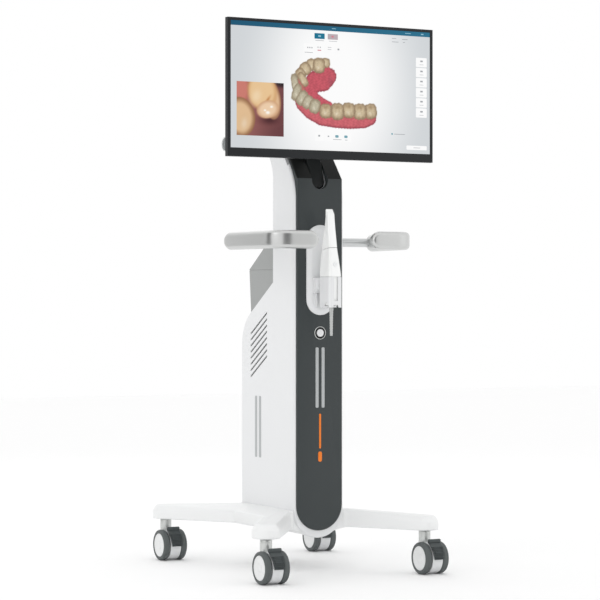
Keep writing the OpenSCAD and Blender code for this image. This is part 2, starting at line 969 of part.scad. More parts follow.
module monitor_back() {
    back = mon_y + mon_edge_t;
    color("black")
        difference() {
            union() {
                mon_slab(mon_w / 2, mon_z, mon_z + mon_h, back, back + 4);
                hull() {
                    mon_slab(210, pivot_z - 105, pivot_z + 120, back + 3, back + 5);
                    mon_slab(165, pivot_z - 75, pivot_z + 90, mon_back_y - 1, mon_back_y);
                }
            }
            at_vesa() y_rod(screw_r, mon_back_y - 13, mon_back_y + 1, 0, 0);
        }
}

module vesa_plate() {
    color("dimgray")
        difference() {
            block(-58, 58, mon_back_y, mon_back_y + plate_t, pivot_z - 58, pivot_z + 58);
            at_vesa() y_rod(screw_r + 0.3, mon_back_y - 1, mon_back_y + plate_t + 1, 0, 0);
        }
}

module monitor_screws() {
    color("silver")
        at_vesa() {
            y_rod(screw_r, mon_back_y - 12, mon_back_y + plate_t, 0, 0);
            y_rod(3.6, mon_back_y + plate_t, mon_back_y + plate_t + 2.6, 0, 0);
        }
}

module tilt_bracket() {
    web_y = mon_back_y + plate_t;
    color("dimgray")
        difference() {
            union() {
                block(-arm_half - 1 - ear_t, arm_half + 1 + ear_t, web_y, web_y + 4,
                      pivot_z - 24, pivot_z + 24);
                for (s = [-1, 1])
                    translate([s * (arm_half + 1 + ear_t / 2), 0, 0]) {
                        yz_slab(-ear_t / 2, ear_t / 2)
                            polygon([[web_y + 2, pivot_z - 24], [pivot_y, pivot_z - pivot_r],
                                     [pivot_y, pivot_z + pivot_r], [web_y + 2, pivot_z + 24]]);
                        x_rod(pivot_r, -ear_t / 2, ear_t / 2, pivot_y, pivot_z);
                    }
            }
            x_rod(pin_r + run, -60, 60, pivot_y, pivot_z);
        }
}

base_casting();
ballast_plate();
castor_stems();
mast();
front_frame();
front_panel();
slot_liner();
side_shell_left();
side_shell_right();
rear_cover();
vent_screens();
monitor_arm();
tilt_pin();
push_bar();
push_bar_plugs();
push_bar_brackets();
handle_bar();
grip_left();
grip_right();
cradle_plate();
cradle_cup();
button_ring();
power_button();
rear_bin();
bin_lid();
computer_unit();
power_supply();
power_inlet();
grey_inlays();
orange_inlays();
scanner_body();
scanner_tip();
scanner_button();
cable_boot();
monitor_back();
monitor_frame();
display_panel();
vesa_plate();
tilt_bracket();
monitor_screws();
fork_front_left();
axle_front_left();
tyres_front_left();
hubs_front_left();
pedal_front_left();
fork_front_right();
axle_front_right();
tyres_front_right();
hubs_front_right();
pedal_front_right();
fork_rear_left();
axle_rear_left();
tyres_rear_left();
hubs_rear_left();
pedal_rear_left();
fork_rear_right();
axle_rear_right();
tyres_rear_right();
hubs_rear_right();
pedal_rear_right();
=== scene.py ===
"""Intraoral scanner cart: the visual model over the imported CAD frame."""

import math

import bmesh
import bpy
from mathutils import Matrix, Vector


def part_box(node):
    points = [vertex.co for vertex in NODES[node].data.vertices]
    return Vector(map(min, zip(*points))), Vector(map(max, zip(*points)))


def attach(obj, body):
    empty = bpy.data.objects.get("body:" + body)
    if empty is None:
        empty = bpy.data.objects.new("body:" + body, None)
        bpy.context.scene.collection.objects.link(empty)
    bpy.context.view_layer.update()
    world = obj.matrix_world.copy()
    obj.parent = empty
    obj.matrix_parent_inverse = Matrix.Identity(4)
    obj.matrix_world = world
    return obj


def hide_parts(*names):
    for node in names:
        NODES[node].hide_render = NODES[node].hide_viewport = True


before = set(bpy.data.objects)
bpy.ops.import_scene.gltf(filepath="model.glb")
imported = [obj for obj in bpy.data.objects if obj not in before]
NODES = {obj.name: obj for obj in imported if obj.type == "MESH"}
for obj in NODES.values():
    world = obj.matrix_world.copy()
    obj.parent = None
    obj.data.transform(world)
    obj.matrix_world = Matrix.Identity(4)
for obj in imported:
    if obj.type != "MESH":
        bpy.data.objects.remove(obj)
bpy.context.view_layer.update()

MM = 0.001
CORNERS = ("front_left", "front_right", "rear_left", "rear_right")


# ---------------------------------------------------------------- materials

def srgb(r, g, b):
    """Linear colour from 0-255 display values."""
    def lin(v):
        v /= 255.0
        return v / 12.92 if v <= 0.04045 else ((v + 0.055) / 1.055) ** 2.4
    return (lin(r), lin(g), lin(b), 1.0)


def node(tree, kind, **values):
    """A new shader node with its settings."""
    n = tree.nodes.new(kind)
    for k, v in values.items():
        setattr(n, k, v)
    return n


def noise(tree, at, scale, detail):
    """A noise over a coordinate."""
    n = node(tree, "ShaderNodeTexNoise")
    n.inputs["Scale"].default_value = scale
    n.inputs["Detail"].default_value = detail
    tree.links.new(at, n.inputs["Vector"])
    return n.outputs["Fac"]


def material(name, colour, rough, metal=0.0, vary=0.04, patch=9.0, rough_vary=0.06, grain=700.0,
             bump=0.02, coat=0.0, coat_rough=0.1, spec=0.5, stretch=None):
    """A moulded or painted finish: slow colour drift, uneven gloss and a fine surface grain."""
    m = bpy.data.materials.new(name)
    m.use_nodes = True
    t = m.node_tree
    p = t.nodes["Principled BSDF"]
    p.inputs["Metallic"].default_value = metal
    p.inputs["Specular IOR Level"].default_value = spec
    p.inputs["Coat Weight"].default_value = coat
    p.inputs["Coat Roughness"].default_value = coat_rough
    where = node(t, "ShaderNodeTexCoord")
    at = where.outputs["Object"]
    if stretch:
        squeeze = node(t, "ShaderNodeMapping")
        squeeze.inputs["Scale"].default_value = stretch
        t.links.new(at, squeeze.inputs["Vector"])
        at = squeeze.outputs["Vector"]
    drift = noise(t, where.outputs["Object"], patch, 4)
    mix = node(t, "ShaderNodeMix", data_type="RGBA")
    mix.inputs["A"].default_value = tuple(max(0, c * (1 - vary)) for c in colour[:3]) + (1,)
    mix.inputs["B"].default_value = tuple(min(1, c * (1 + vary)) for c in colour[:3]) + (1,)
    t.links.new(drift, mix.inputs["Factor"])
    t.links.new(mix.outputs["Result"], p.inputs["Base Color"])
    smear = noise(t, at, patch * 5, 5)
    span = node(t, "ShaderNodeMapRange")
    span.inputs["To Min"].default_value = max(0.02, rough - rough_vary)
    span.inputs["To Max"].default_value = min(1.0, rough + rough_vary)
    t.links.new(smear, span.inputs["Value"])
    t.links.new(span.outputs["Result"], p.inputs["Roughness"])
    fine = noise(t, at, grain, 3)
    relief = node(t, "ShaderNodeBump")
    relief.inputs["Strength"].default_value = bump
    relief.inputs["Distance"].default_value = 0.0004
    t.links.new(fine, relief.inputs["Height"])
    t.links.new(relief.outputs["Normal"], p.inputs["Normal"])
    return m


WHITE = material("white_satin_shell", srgb(229, 230, 231), 0.34, vary=0.012, grain=900, bump=0.05, coat=0.15)
PAINT = material("white_powder_coat", srgb(237, 238, 238), 0.38, vary=0.012, grain=520, bump=0.10, coat=0.1)
SCANNER = material("gloss_white_scanner", srgb(247, 248, 247), 0.2, vary=0.01, grain=600, bump=0.02, coat=0.5)
PANEL = material("dark_grey_panel", srgb(60, 65, 66), 0.36, vary=0.05, grain=1100, bump=0.06, spec=0.3)
SLOT_DARK = material("slot_dark", srgb(28, 30, 30), 0.5, vary=0.08, grain=900, bump=0.1, spec=0.3)
ARM = material("arm_powder_coat", srgb(36, 39, 39), 0.48, vary=0.06, grain=650, bump=0.16, spec=0.3)
BEZEL = material("bezel_black", srgb(38, 40, 42), 0.34, vary=0.05, grain=1300, bump=0.08, spec=0.2)
BACK = material("textured_black", srgb(40, 42, 43), 0.55, vary=0.07, grain=450, bump=0.3)
GRIP = material("silver_grey_lacquer", srgb(205, 206, 205), 0.31, metal=0.82, vary=0.02, rough_vary=0.03,
                grain=1500, bump=0.04, coat=0.15)
STEEL = material("turned_steel", srgb(190, 191, 190), 0.3, metal=1.0, vary=0.05, grain=400, bump=0.06,
                 stretch=(1, 1, 12))
HOUSING = material("satin_zinc", srgb(214, 216, 214), 0.3, metal=0.6, vary=0.04, grain=500, bump=0.05,
                   stretch=(1, 1, 20))
TYRE = material("polyurethane_tread", srgb(84, 89, 89), 0.55, vary=0.10, patch=30, grain=900, bump=0.22)
BAR_STEEL = material("bar_steel", srgb(208, 210, 210), 0.34, metal=0.7, vary=0.02, rough_vary=0.05, grain=500,
                     bump=0.02)
PEDAL = material("pedal_nylon", srgb(64, 70, 71), 0.5, vary=0.08, patch=25, grain=700, bump=0.25)
HUB = material("hub_plastic", srgb(230, 231, 231), 0.36, vary=0.015, patch=20, grain=800, bump=0.08)
FORK = material("fork_plastic", srgb(226, 227, 228), 0.42, vary=0.03, patch=20, grain=700, bump=0.12)
BIN = material("bin_grey", srgb(157, 159, 158), 0.45, vary=0.03, grain=600, bump=0.2)
GREY = material("grey_trim", srgb(120, 124, 125), 0.4, vary=0.04, grain=900, bump=0.08)
INLAY = material("inlay_grey", srgb(176, 179, 180), 0.4, vary=0.04, grain=900, bump=0.08)
ORANGE = material("orange_trim", srgb(238, 122, 12), 0.38, vary=0.04, grain=900, bump=0.06)
SCAN_BUTTON = material("scan_button_grey", srgb(236, 238, 238), 0.3, vary=0.02, grain=700, bump=0.05,
                       coat=0.3)
RUBBER = material("grey_rubber", srgb(186, 188, 187), 0.6, vary=0.05, patch=30, grain=900, bump=0.3)
GLASS = material("window_glass", srgb(20, 26, 32), 0.05, vary=0.02, grain=200, bump=0.0, coat=1.0,
                 coat_rough=0.02)
# The panel's faces that tilt up under the monitor: the panel colour darkened, as painted shade for the
# monitor's shadow.
PANEL_PAINTED_SHADE = material("panel_painted_shade", srgb(22, 24, 23), 0.36, vary=0.05, grain=1100, bump=0.06, spec=0.2)
SHADOW_GREY = material("vent_mesh", srgb(66, 68, 68), 0.6, vary=0.1, grain=300, bump=0.4)
# Emission of the lit screen
SCREEN_GLOW = 0.97


def lit(name, colour=None):
    """A lit part of the screen under glass: one colour, or the picture's own painted colours."""
    m = material(name, (0.004, 0.004, 0.005, 1), 0.16, vary=0.02, rough_vary=0.03, grain=300, bump=0.0,
                 spec=0.1)
    t = m.node_tree
    p = t.nodes["Principled BSDF"]
    grain = node(t, "ShaderNodeTexNoise")
    grain.inputs["Scale"].default_value = 900
    mix = node(t, "ShaderNodeMix", data_type="RGBA", blend_type="MULTIPLY")
    mix.inputs["Factor"].default_value = 0.03
    if colour:
        mix.inputs["A"].default_value = colour
    else:
        paint_layer = node(t, "ShaderNodeVertexColor", layer_name="picture")
        t.links.new(paint_layer.outputs["Color"], mix.inputs["A"])
    t.links.new(grain.outputs["Fac"], mix.inputs["B"])
    t.links.new(mix.outputs["Result"], p.inputs["Emission Color"])
    p.inputs["Emission Strength"].default_value = SCREEN_GLOW
    return m


PICTURE = lit("screen_picture_light")
LIT_WHITE = lit("screen_white", srgb(255, 255, 255))
LIT_GREY = lit("screen_grey", srgb(168, 171, 175))
LIT_BLUE = lit("screen_blue", srgb(30, 116, 146))
LIT_PINK = lit("screen_pink_grey", srgb(190, 176, 182))
LIT_TEAL = lit("screen_teal", srgb(120, 168, 180))
LIT_GUM = lit("screen_gum", srgb(214, 132, 146))
LIT_SKY = lit("screen_sky", srgb(150, 196, 214))


# ---------------------------------------------------------------- mesh tools

def mix3(a, b, t):
    """Three numbers, a share t of the way from a to b."""
    return tuple(p + (q - p) * t for p, q in zip(a, b))


def smooth(lo, hi, v):
    """0 below lo and 1 above hi, with an eased rise between."""
    t = max(0.0, min(1.0, (v - lo) / (hi - lo)))
    return t * t * (3 - 2 * t)


def place(ob, body, mat, replaces=()):
    """Put an object in the scene with its finish, riding its body."""
    if ob.name not in bpy.context.scene.collection.objects:
        bpy.context.scene.collection.objects.link(ob)
    ob.data.materials.clear()
    ob.data.materials.append(mat)
    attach(ob, body)
    if replaces:
        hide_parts(*replaces)
    return ob


def add_shape(bm, verts, faces):
    """Add points in millimetres and their faces to a mesh, leaving out a face that would be there twice."""
    made = [bm.verts.new([c * MM for c in v]) for v in verts]
    for f in faces:
        try:
            bm.faces.new([made[i] for i in f])
        except ValueError:
            pass
    bmesh.ops.remove_doubles(bm, verts=bm.verts, dist=1e-7)
    bmesh.ops.recalc_face_normals(bm, faces=bm.faces)


def piece(name, verts, faces, body, mat, slot=None, replaces=(), angle=32):
    """A closed mesh from points in millimetres, smooth but for edges sharper than angle."""
    me = bpy.data.meshes.new(name)
    bm = bmesh.new()
    add_shape(bm, verts, faces)
    bm.to_mesh(me)
    bm.free()
    me.shade_smooth()
    me.set_sharp_from_angle(angle=math.radians(angle))
    return place(bpy.data.objects.new(name, me), body, mat, replaces)


def join(parts):
    """Several (verts, faces) as one."""
    verts, faces = [], []
    for v, f in parts:
        n = len(verts)
        verts += list(v)
        faces += [[i + n for i in face] for face in f]
    return verts, faces


def loft(rings, closed=False):
    """Quads between rings of equal count, with flat caps at the two ends unless it closes on itself."""
    n = len(rings[0])
    verts = [p for ring in rings for p in ring]
    faces = []
    last = len(rings) if closed else len(rings) - 1
    for i in range(last):
        a, b = i * n, ((i + 1) % len(rings)) * n
        for j in range(n):
            k = (j + 1) % n
            faces.append([a + j, a + k, b + k, b + j])
    if not closed:
        faces.append(list(range(n))[::-1])
        faces.append([(len(rings) - 1) * n + j for j in range(n)])
    return verts, faces


def rrect(hw, hh, r, per=6):
    """Points of a rounded rectangle, counter-clockwise."""
    r = min(r, hw, hh)
    pts = []
    for cx, cy, a0 in ((hw - r, hh - r, 0), (-hw + r, hh - r, 90), (-hw + r, -hh + r, 180),
                       (hw - r, -hh + r, 270)):
        for i in range(per + 1):
            a = math.radians(a0 + 90 * i / per)
            pts.append((cx + r * math.cos(a), cy + r * math.sin(a)))
    return pts


def stadium(r, z0, z1, per=16):
    """Points (x, z) of an upright stadium between z0 and z1."""
    pts = []
    for cz, a0 in ((z1 - r, 0), (z0 + r, 180)):
        for i in range(per + 1):
            a = math.radians(a0 + 180 * i / per)
            pts.append((r * math.cos(a), cz + r * math.sin(a)))
    return pts


def lathe(profile, n, at):
    """A closed profile of (radius, distance along the axis) turned in n steps; at(u, v, d) gives a point."""
    rings = []
    for i in range(n):
        a = 2 * math.pi * i / n
        rings.append([at(r * math.cos(a), r * math.sin(a), d) for r, d in profile])
    return loft(rings, closed=True)


def lathe_x(profile, cx, cy, cz, n):
    """A profile turned about an axis along X, through (cy, cz) and measured from cx."""
    return lathe(profile, n, lambda u, v, d: (cx + d, cy + u, cz + v))


def lathe_y(profile, cx, cz, n):
    """A profile turned about an axis along Y."""
    return lathe(profile, n, lambda u, v, d: (cx + u, d, cz + v))


def lathe_z(profile, cx, cy, n):
    """A profile turned about an upright axis."""
    return lathe(profile, n, lambda u, v, d: (cx + u, cy + v, d))


def slab(x0, x1, y0, y1, z0, z1, r=2.0, axis="y"):
    """A block with rounded corners in the plane across axis and softened front and back edges."""
    u0, u1, v0, v1, lo, hi = {"x": (y0, y1, z0, z1, x0, x1), "y": (x0, x1, z0, z1, y0, y1),
                              "z": (x0, x1, y0, y1, z0, z1)}[axis]
    at = {"x": lambda u, v, d: (d, u, v), "y": lambda u, v, d: (u, d, v), "z": lambda u, v,
          d: (u, v, d)}[axis]
    hw, hh, mu, mv = (u1 - u0) / 2, (v1 - v0) / 2, (u0 + u1) / 2, (v0 + v1) / 2
    e = min(0.6, (hi - lo) * 0.3, r * 0.5)
    rings = []
    for inset, d in ((e, lo), (0.3 * e, lo + 0.3 * e), (0, lo + e), (0, hi - e), (0.3 * e, hi - 0.3 * e),
                     (e, hi)):
        rings.append([at(mu + p[0], mv + p[1], d) for p in rrect(hw - inset, hh - inset, r)])
    return loft(rings)


def softened(name, width, mat, body, angle=28, segments=3, keep=None, rest=None, prepare=None):
    """A CAD node's shape with its edges rounded.

    keep(edge) picks the edges if given, and rest is then the width on the others. prepare(mesh) comes first.
    """
    src = NODES[name]
    bm = bmesh.new()
    bm.from_mesh(src.data)
    bmesh.ops.remove_doubles(bm, verts=bm.verts, dist=2e-6)
    bmesh.ops.dissolve_limit(bm, angle_limit=math.radians(0.6), verts=bm.verts, edges=bm.edges)
    if prepare:
        prepare(bm)
    me = bpy.data.meshes.new(name + "_body")
    if keep:
        picked = [e for e in bm.edges if len(e.link_faces) == 2 and e.calc_face_angle(0) > math.radians(angle)
                  and keep(e)]
        bmesh.ops.bevel(bm, geom=picked, offset=width * MM, segments=segments, profile=0.5,
                        affect="EDGES", clamp_overlap=False)
    bm.to_mesh(me)
    bm.free()
    me.shade_smooth()
    me.set_sharp_from_angle(angle=math.radians(angle))
    ob = bpy.data.objects.new(name + "_body", me)
    place(ob, body, mat, (name,))
    if rest or not keep:
        b = ob.modifiers.new("edge", "BEVEL")
        b.limit_method = "ANGLE"
        b.angle_limit = math.radians(angle)
        b.width = (rest or width) * MM
        b.segments = segments
        b.use_clamp_overlap = True
        b.harden_normals = True
    return ob


def dress(name, mat):
    """A CAD node that stays, with its own finish."""
    ob = NODES[name]
    ob.data.materials.clear()
    ob.data.materials.append(mat)


# ---------------------------------------------------------------- camera, lights, floor

cam = bpy.data.cameras.new("camera")
cam.lens = 135
cam.sensor_width = 36
cam_ob = bpy.data.objects.new("camera", cam)
cam_ob.location = (-2.528, -4.779, 0.6395)
cam_ob.rotation_euler = (math.radians(90), 0, math.radians(-28))
bpy.context.scene.collection.objects.link(cam_ob)
bpy.context.scene.camera = cam_ob

world = bpy.data.worlds.new("studio")
world.use_nodes = True
bg = world.node_tree.nodes["Background"]
bg.inputs["Color"].default_value = (1, 1, 1, 1)
bg.inputs["Strength"].default_value = 1.0
bpy.context.scene.world = world
bpy.context.scene.view_settings.view_transform = "Standard"


def area(name, loc, look, size, power):
    """A square soft light at loc, turned to look."""
    light = bpy.data.lights.new(name, "AREA")
    light.shape = "SQUARE"
    light.size = size
    light.energy = power
    ob = bpy.data.objects.new(name, light)
    ob.location = loc
    d = Vector(look) - Vector(loc)
    ob.rotation_euler = d.to_track_quat("-Z", "Y").to_euler()
    bpy.context.scene.collection.objects.link(ob)


area("key", (-3.2, -0.8, 2.2), (0, 0, 0.7), 2.0, 8)
area("fill", (2.8, -2.6, 1.6), (0, 0, 0.7), 2.6, 3)
area("rim", (0.6, 2.8, 2.4), (0, 0, 0.8), 2.0, 5)

floor_me = bpy.data.meshes.new("floor")
floor_me.from_pydata([(-9, -9, 0), (9, -9, 0), (9, 9, 0), (-9, 9, 0)], [], [(0, 1, 2, 3)])
floor = bpy.data.objects.new("floor", floor_me)
floor.data.materials.append(material("pale_floor", (0.985, 0.985, 0.985, 1), 0.8, vary=0.004, grain=80,
                                     bump=0.0, spec=0.1))
bpy.context.scene.collection.objects.link(floor)


def flag(name, x, y, facing, width):
    """A tall dark studio card that shows only in glossy reflections."""
    a = math.radians(facing)
    dx, dy = -math.sin(a) * width / 2, math.cos(a) * width / 2
    me = bpy.data.meshes.new(name)
    low, high = 0.02, 2.6
    me.from_pydata([(x - dx, y - dy, low), (x + dx, y + dy, low), (x + dx, y + dy, high),
                    (x - dx, y - dy, high)],
                   [], [(0, 1, 2, 3)])
    ob = bpy.data.objects.new(name, me)
    ob.data.materials.append(FLAG)
    ob.visible_camera = False
    ob.visible_diffuse = False
    ob.visible_shadow = False
    ob.visible_transmission = False
    bpy.context.scene.collection.objects.link(ob)


FLAG = material("studio_flag", srgb(34, 36, 36), 0.9, vary=0.02, grain=80, bump=0.0, spec=0.05)
flag("flag_left", -2.65, 1.5, 150, 1.7)
flag("flag_front", -0.1, -3.1, 268, 2.4)


# ---------------------------------------------------------------- base

# Millimetres: the remeshed skin's cells, and the gussets' reach into the frame and out along the leg
SKIN_VOXEL = 2.3
GUSSET_IN, GUSSET_OUT = 3, 36
GUSSET_STEPS = 30
# Shares of a gusset's sections that follow the leg's underside and climb the leg's front
GUSSET_UNDER, GUSSET_UP = 0.7, 0.3


def blended_base():
    """The casting with a gusset each side of the column's foot, under one skin with soft fillets."""
    src = NODES["base_casting"]
    bm = bmesh.new()
    bm.from_mesh(src.data)
    f_lo, f_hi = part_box("front_frame")
    half, foot_z = f_hi[0] / MM, f_lo[2] / MM
    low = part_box("base_casting")[0][2] / MM
    front, back = f_lo[1] / MM + 5.0, f_hi[1] / MM + 28.0
    # A gusset goes from under the round foot out along the leg's underside and up the leg's front. It
    # reaches into the frame a little, so no groove is left between them.
    middle_z = foot_z + half
    under = math.radians(-65)
    tip = Vector((half * math.cos(under), middle_z + half * math.sin(under)))
    level = low - 0.6
    bend_at = Vector((tip.x - (level - tip.y) * math.tan(under), level))
    reach, shoulder = Vector((half + GUSSET_OUT, level)), Vector((half + 6, middle_z - 6))
    inner_r = half - GUSSET_IN
    extra = []
    for s in (-1, 1):
        rings = []
        for i in range(GUSSET_STEPS + 1):
            t = i / GUSSET_STEPS
            a = under * (1 - t)
            near = Vector((inner_r * math.cos(a), middle_z + inner_r * math.sin(a)))
            if t < GUSSET_UNDER:
                u = t / GUSSET_UNDER
                far = tip * (1 - u) ** 2 + bend_at * 2 * u * (1 - u) + reach * u * u
            else:
                far = reach.lerp(shoulder, (t - GUSSET_UNDER) / GUSSET_UP)
            eased = far.lerp(near, min(0.5, 5 / max(5.0, (far - near).length)))
            rings.append([(s * at.x, y, at.y) for at, y in
                          ((near, front), (eased, front), (far, front + 7), (far, back), (near, back))])
        extra.append(loft(rings))
    add_shape(bm, *join(extra))
    me = bpy.data.meshes.new("base_casting_body")
    bm.to_mesh(me)
    bm.free()
    ob = bpy.data.objects.new("base_casting_body", me)
    place(ob, "cart", PAINT, ("base_casting",))
    skin = ob.modifiers.new("one_skin", "REMESH")
    skin.mode = "VOXEL"
    skin.voxel_size = SKIN_VOXEL * MM
    skin.use_smooth_shade = True
    fillets = ob.modifiers.new("fillets", "SMOOTH")
    fillets.factor = 0.5
    fillets.iterations = 5


blended_base()
dress("ballast_plate", STEEL)
dress("castor_stems", STEEL)

# ---------------------------------------------------------------- castors

# Millimetres: widths are from the castor's middle plane or along its axle, and radii are about the axle
# but for the sleeve's, which is about the swivel
TREAD = 17.0
WHEEL_OUT = 31
TRAIL = 25.0
RIBS, RIB_PITCH, RIB_HALF = 7, 3.8, 0.7
RIB_R0, RIB_R1 = 35.0, 36.1
SLEEVE_R = 13.95
LUG = 8.0
PEDAL_R, PEDAL_BACK_R, PEDAL_UNDER_R = 42.5, 39.5, 38.9
PEDAL_HALF = 15.4
GROOVE_DEEP = 2.0


def ring_band(r0, r1, x0, x1, cx, cy, cz, a0, a1, n):
    """A curved strip about the axle between two angles, with flat ends."""
    prof = ((r0, x0), (r1, x0 + 0.25), (r1, x1 - 0.25), (r0, x1))
    rings = []
    for i in range(n + 1):
        a = math.radians(a0 + (a1 - a0) * i / n)
        c, s = math.cos(a), math.sin(a)
        rings.append([(cx + x, cy + r * c, cz + r * s) for r, x in prof])
    return loft(rings)


def castor(corner):
    """One castor about its CAD axle: wheels, fork, sleeve and brake pedal, each on its own body."""
    lo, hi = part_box("axle_" + corner)
    cx = (lo[0] + hi[0]) / 2 / MM
    wlo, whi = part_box("tyres_" + corner)
    ay, az = (wlo[1] + whi[1]) / 2 / MM, (wlo[2] + whi[2]) / 2 / MM
    sy = ay + TRAIL
    inner = WHEEL_OUT - TREAD
    wheels, swivel, pedal_body = "wheels_" + corner, "swivel_" + corner, "pedal_" + corner

    tyre, hub = [], []
    for s in (-1, 1):
        x = [s * (inner + t) for t in
             (0.0, 0.8, 2.2, 4.5, 7.0, 9.6, 10.2, 10.8, 13.0, 15.2, 16.4, 17.0, 16.6, 15.6)]
        r = [31.5, 34.6, 36.4, 37.4, 37.5, 37.5, 37.15, 37.5, 37.3, 36.0, 34.0, 31.4, 29.6, 28.6]
        tyre.append(lathe_x(list(zip(r, x)) + [(28.4, s * (inner + 1.0))], cx, ay, az, 96))
        prof = [(4.1, 1.8), (28.35, 1.8), (28.35, 15.2), (27.9, 15.9), (26.9, 16.2), (25.8, 15.9),
                (25.2, 15.2), (24.2, 15.0), (12.5, 15.2), (11.4, 15.25), (10.9, 14.7), (10.3, 14.7),
                (9.8, 15.3), (8.0, 15.9), (0.4, 16.3), (0.4, 14.0), (4.1, 14.0)]
        hub.append(lathe_x([(rr, s * (inner + t)) for rr, t in prof], cx, ay, az, 96))
    piece("tyre_pair_" + corner, *join(tyre), wheels, TYRE, "tyre", ("tyres_" + corner,), angle=40)
    piece("hub_pair_" + corner, *join(hub), wheels, HUB, "pale_plastic", ("hubs_" + corner,), angle=30)
    dress("axle_" + corner, STEEL)

    # Fork: a slotted disc with fine ribs round its edge
    softened("fork_" + corner, 0.7, FORK, swivel, angle=30)
    ribs = []
    for i in range(RIBS):
        x = -11.4 + i * RIB_PITCH
        ribs.append(ring_band(RIB_R0, RIB_R1, x - RIB_HALF, x + RIB_HALF, cx, ay, az, 190, 318, 44))
    piece("fork_ribs_" + corner, *join(ribs), swivel, FORK, "pale_plastic")

    # Turned sleeve over the fork's upright
    sleeve = [(13.62, 66.0), (SLEEVE_R, 66.4), (SLEEVE_R, 91.2), (13.6, 91.5), (13.6, 92.1),
              (SLEEVE_R, 92.4), (SLEEVE_R, 96.6), (13.3, 98.2), (12.6, 98.6), (10.2, 98.6), (9.9, 98.3),
              (9.9, 91.6), (12.0, 88.6), (13.2, 86.8), (13.55, 85.6)]
    piece("housing_sleeve_" + corner, *lathe_z(sleeve, cx, sy, 64), swivel, HOUSING, "steel", angle=35)

    # Pedal: a curved plate with a thick lip at the top and ribs below, narrower towards the bottom
    def half(a):
        """Half the pedal's width: full at the top, then tapering to its lower end."""
        return PEDAL_HALF - 1.5 * smooth(143, 157, a) - 1.9 * smooth(157, 181, a)

    rings = []
    first, last, groove0, groove1, grooves, sections = 114.0, 181.0, 140.0, 178.0, 7, 90
    for i in range(sections + 1):
        a = last - (last - first) * i / sections
        rad = math.radians(a)
        hw = half(a)
        r_out = PEDAL_R
        if groove0 < a < groove1:
            turn = (a - groove0) / (groove1 - groove0) * grooves
            r_out = PEDAL_R - GROOVE_DEEP * smooth(0.3, 0.6, 2 * abs(turn % 1.0 - 0.5))
        c, s = math.cos(rad), math.sin(rad)
        prof = [(PEDAL_UNDER_R, -hw + 0.6), (PEDAL_BACK_R, -hw), (r_out - 0.8, -hw), (r_out, -hw + 1.0),
                (r_out, hw - 1.0), (r_out - 0.8, hw), (PEDAL_BACK_R, hw), (PEDAL_UNDER_R, hw - 0.6)]
        rings.append([(cx + x, ay + rr * c, az + rr * s) for rr, x in prof])
    plate = loft(rings)
    lip = slab(cx - PEDAL_HALF, cx + PEDAL_HALF, ay - 22.6, ay - 13.6, az + 36.2, az + 45.0, r=3.0, axis="x")
    lug = [(-40.2, 13.5), (-31.2, 12.6), (-16.4, 20.4), (-12.6, 39.0), (-20.0, 38.5), (-31.0, 28.0)]
    mid_y = sum(p[0] for p in lug) / len(lug)
    mid_z = sum(p[1] for p in lug) / len(lug)
    rings = []
    for x, e in ((-LUG, 0.5), (-LUG + 0.5, 0), (LUG - 0.5, 0), (LUG, 0.5)):
        rings.append([(cx + x, ay + py + (mid_y - py) * e * 0.06, az + pz + (mid_z - pz) * e * 0.06)
                      for py, pz in lug])
    piece("pedal_plate_" + corner, *join([plate, lip, loft(rings)]), pedal_body, PEDAL, "pedal_plastic",
          ("pedal_" + corner,), angle=24)


for corner in CORNERS:
    castor(corner)


# ---------------------------------------------------------------- column

# Metres: half widths and heights that tell the outline's edges from those of the slot and the holes
PANEL_RIM_X, PANEL_FOOT_Z, PANEL_TOP_Z = 0.055, 0.150, 1.035
FRAME_RIM_X, FRAME_SIDE_X, FRAME_FOOT_Z, FRAME_TOP_Z = 0.0655, 0.0662, 0.146, 1.043


def outer_front(e):
    """The panel's front outline, but not its slot or its button hole."""
    m = (e.verts[0].co + e.verts[1].co) / 2
    if not (abs(m.x) > PANEL_RIM_X or m.z < PANEL_FOOT_Z):
        return False
    sides = [abs(f.normal.x) > 0.02 or f.normal.z < -0.5 for f in e.link_faces]
    fronts = [f.normal.y < -0.5 for f in e.link_faces]
    return any(sides) and any(fronts) and m.z < PANEL_TOP_Z


# Millimetres: rounding of the shells' edges, which shows as the line between them, and of the front
SEAM_EDGE = 1.3
FRONT_EDGE = 4.6


def frame_corner(e):
    """The front frame's outer corners, at both sides of its face and round its foot."""
    if any(abs(v.co.x) > FRAME_SIDE_X or v.co.z > FRAME_TOP_Z for v in e.verts):
        return False
    fronts = [f.normal.y < -0.4 for f in e.link_faces]
    sides = [abs(f.normal.y) < 0.3 for f in e.link_faces]
    m = (e.verts[0].co + e.verts[1].co) / 2
    return any(fronts) and any(sides) and (abs(m.x) > FRAME_RIM_X or m.z < FRAME_FOOT_Z)


panel = softened("front_panel", FRONT_EDGE, PANEL, "cart", angle=20, segments=5,
                 keep=outer_front)
panel.data.materials.append(PANEL_PAINTED_SHADE)
# Faces that tilt up and forward take the darker copy: painted shade under the monitor.
for poly in panel.data.polygons:
    if poly.normal.z > 0.3 and poly.normal.y < 0:
        poly.material_index = 1
softened("front_frame", FRONT_EDGE, WHITE, "cart", angle=28, segments=5,
         keep=frame_corner, rest=SEAM_EDGE)
softened("side_shell_left", SEAM_EDGE, WHITE, "cart", angle=35)
softened("side_shell_right", SEAM_EDGE, WHITE, "cart", angle=35)
softened("rear_cover", 0.7, WHITE, "cart", angle=35)
dress("slot_liner", SLOT_DARK)
dress("mast", STEEL)
dress("vent_screens", SHADOW_GREY)
dress("computer_unit", BACK)
dress("power_supply", BACK)
softened("power_inlet", 0.6, BACK, "cart", angle=35)
softened("monitor_arm", 2.2, ARM, "cart", angle=20)
dress("tilt_pin", STEEL)
softened("push_bar_brackets", 1.5, PAINT, "cart", angle=30)

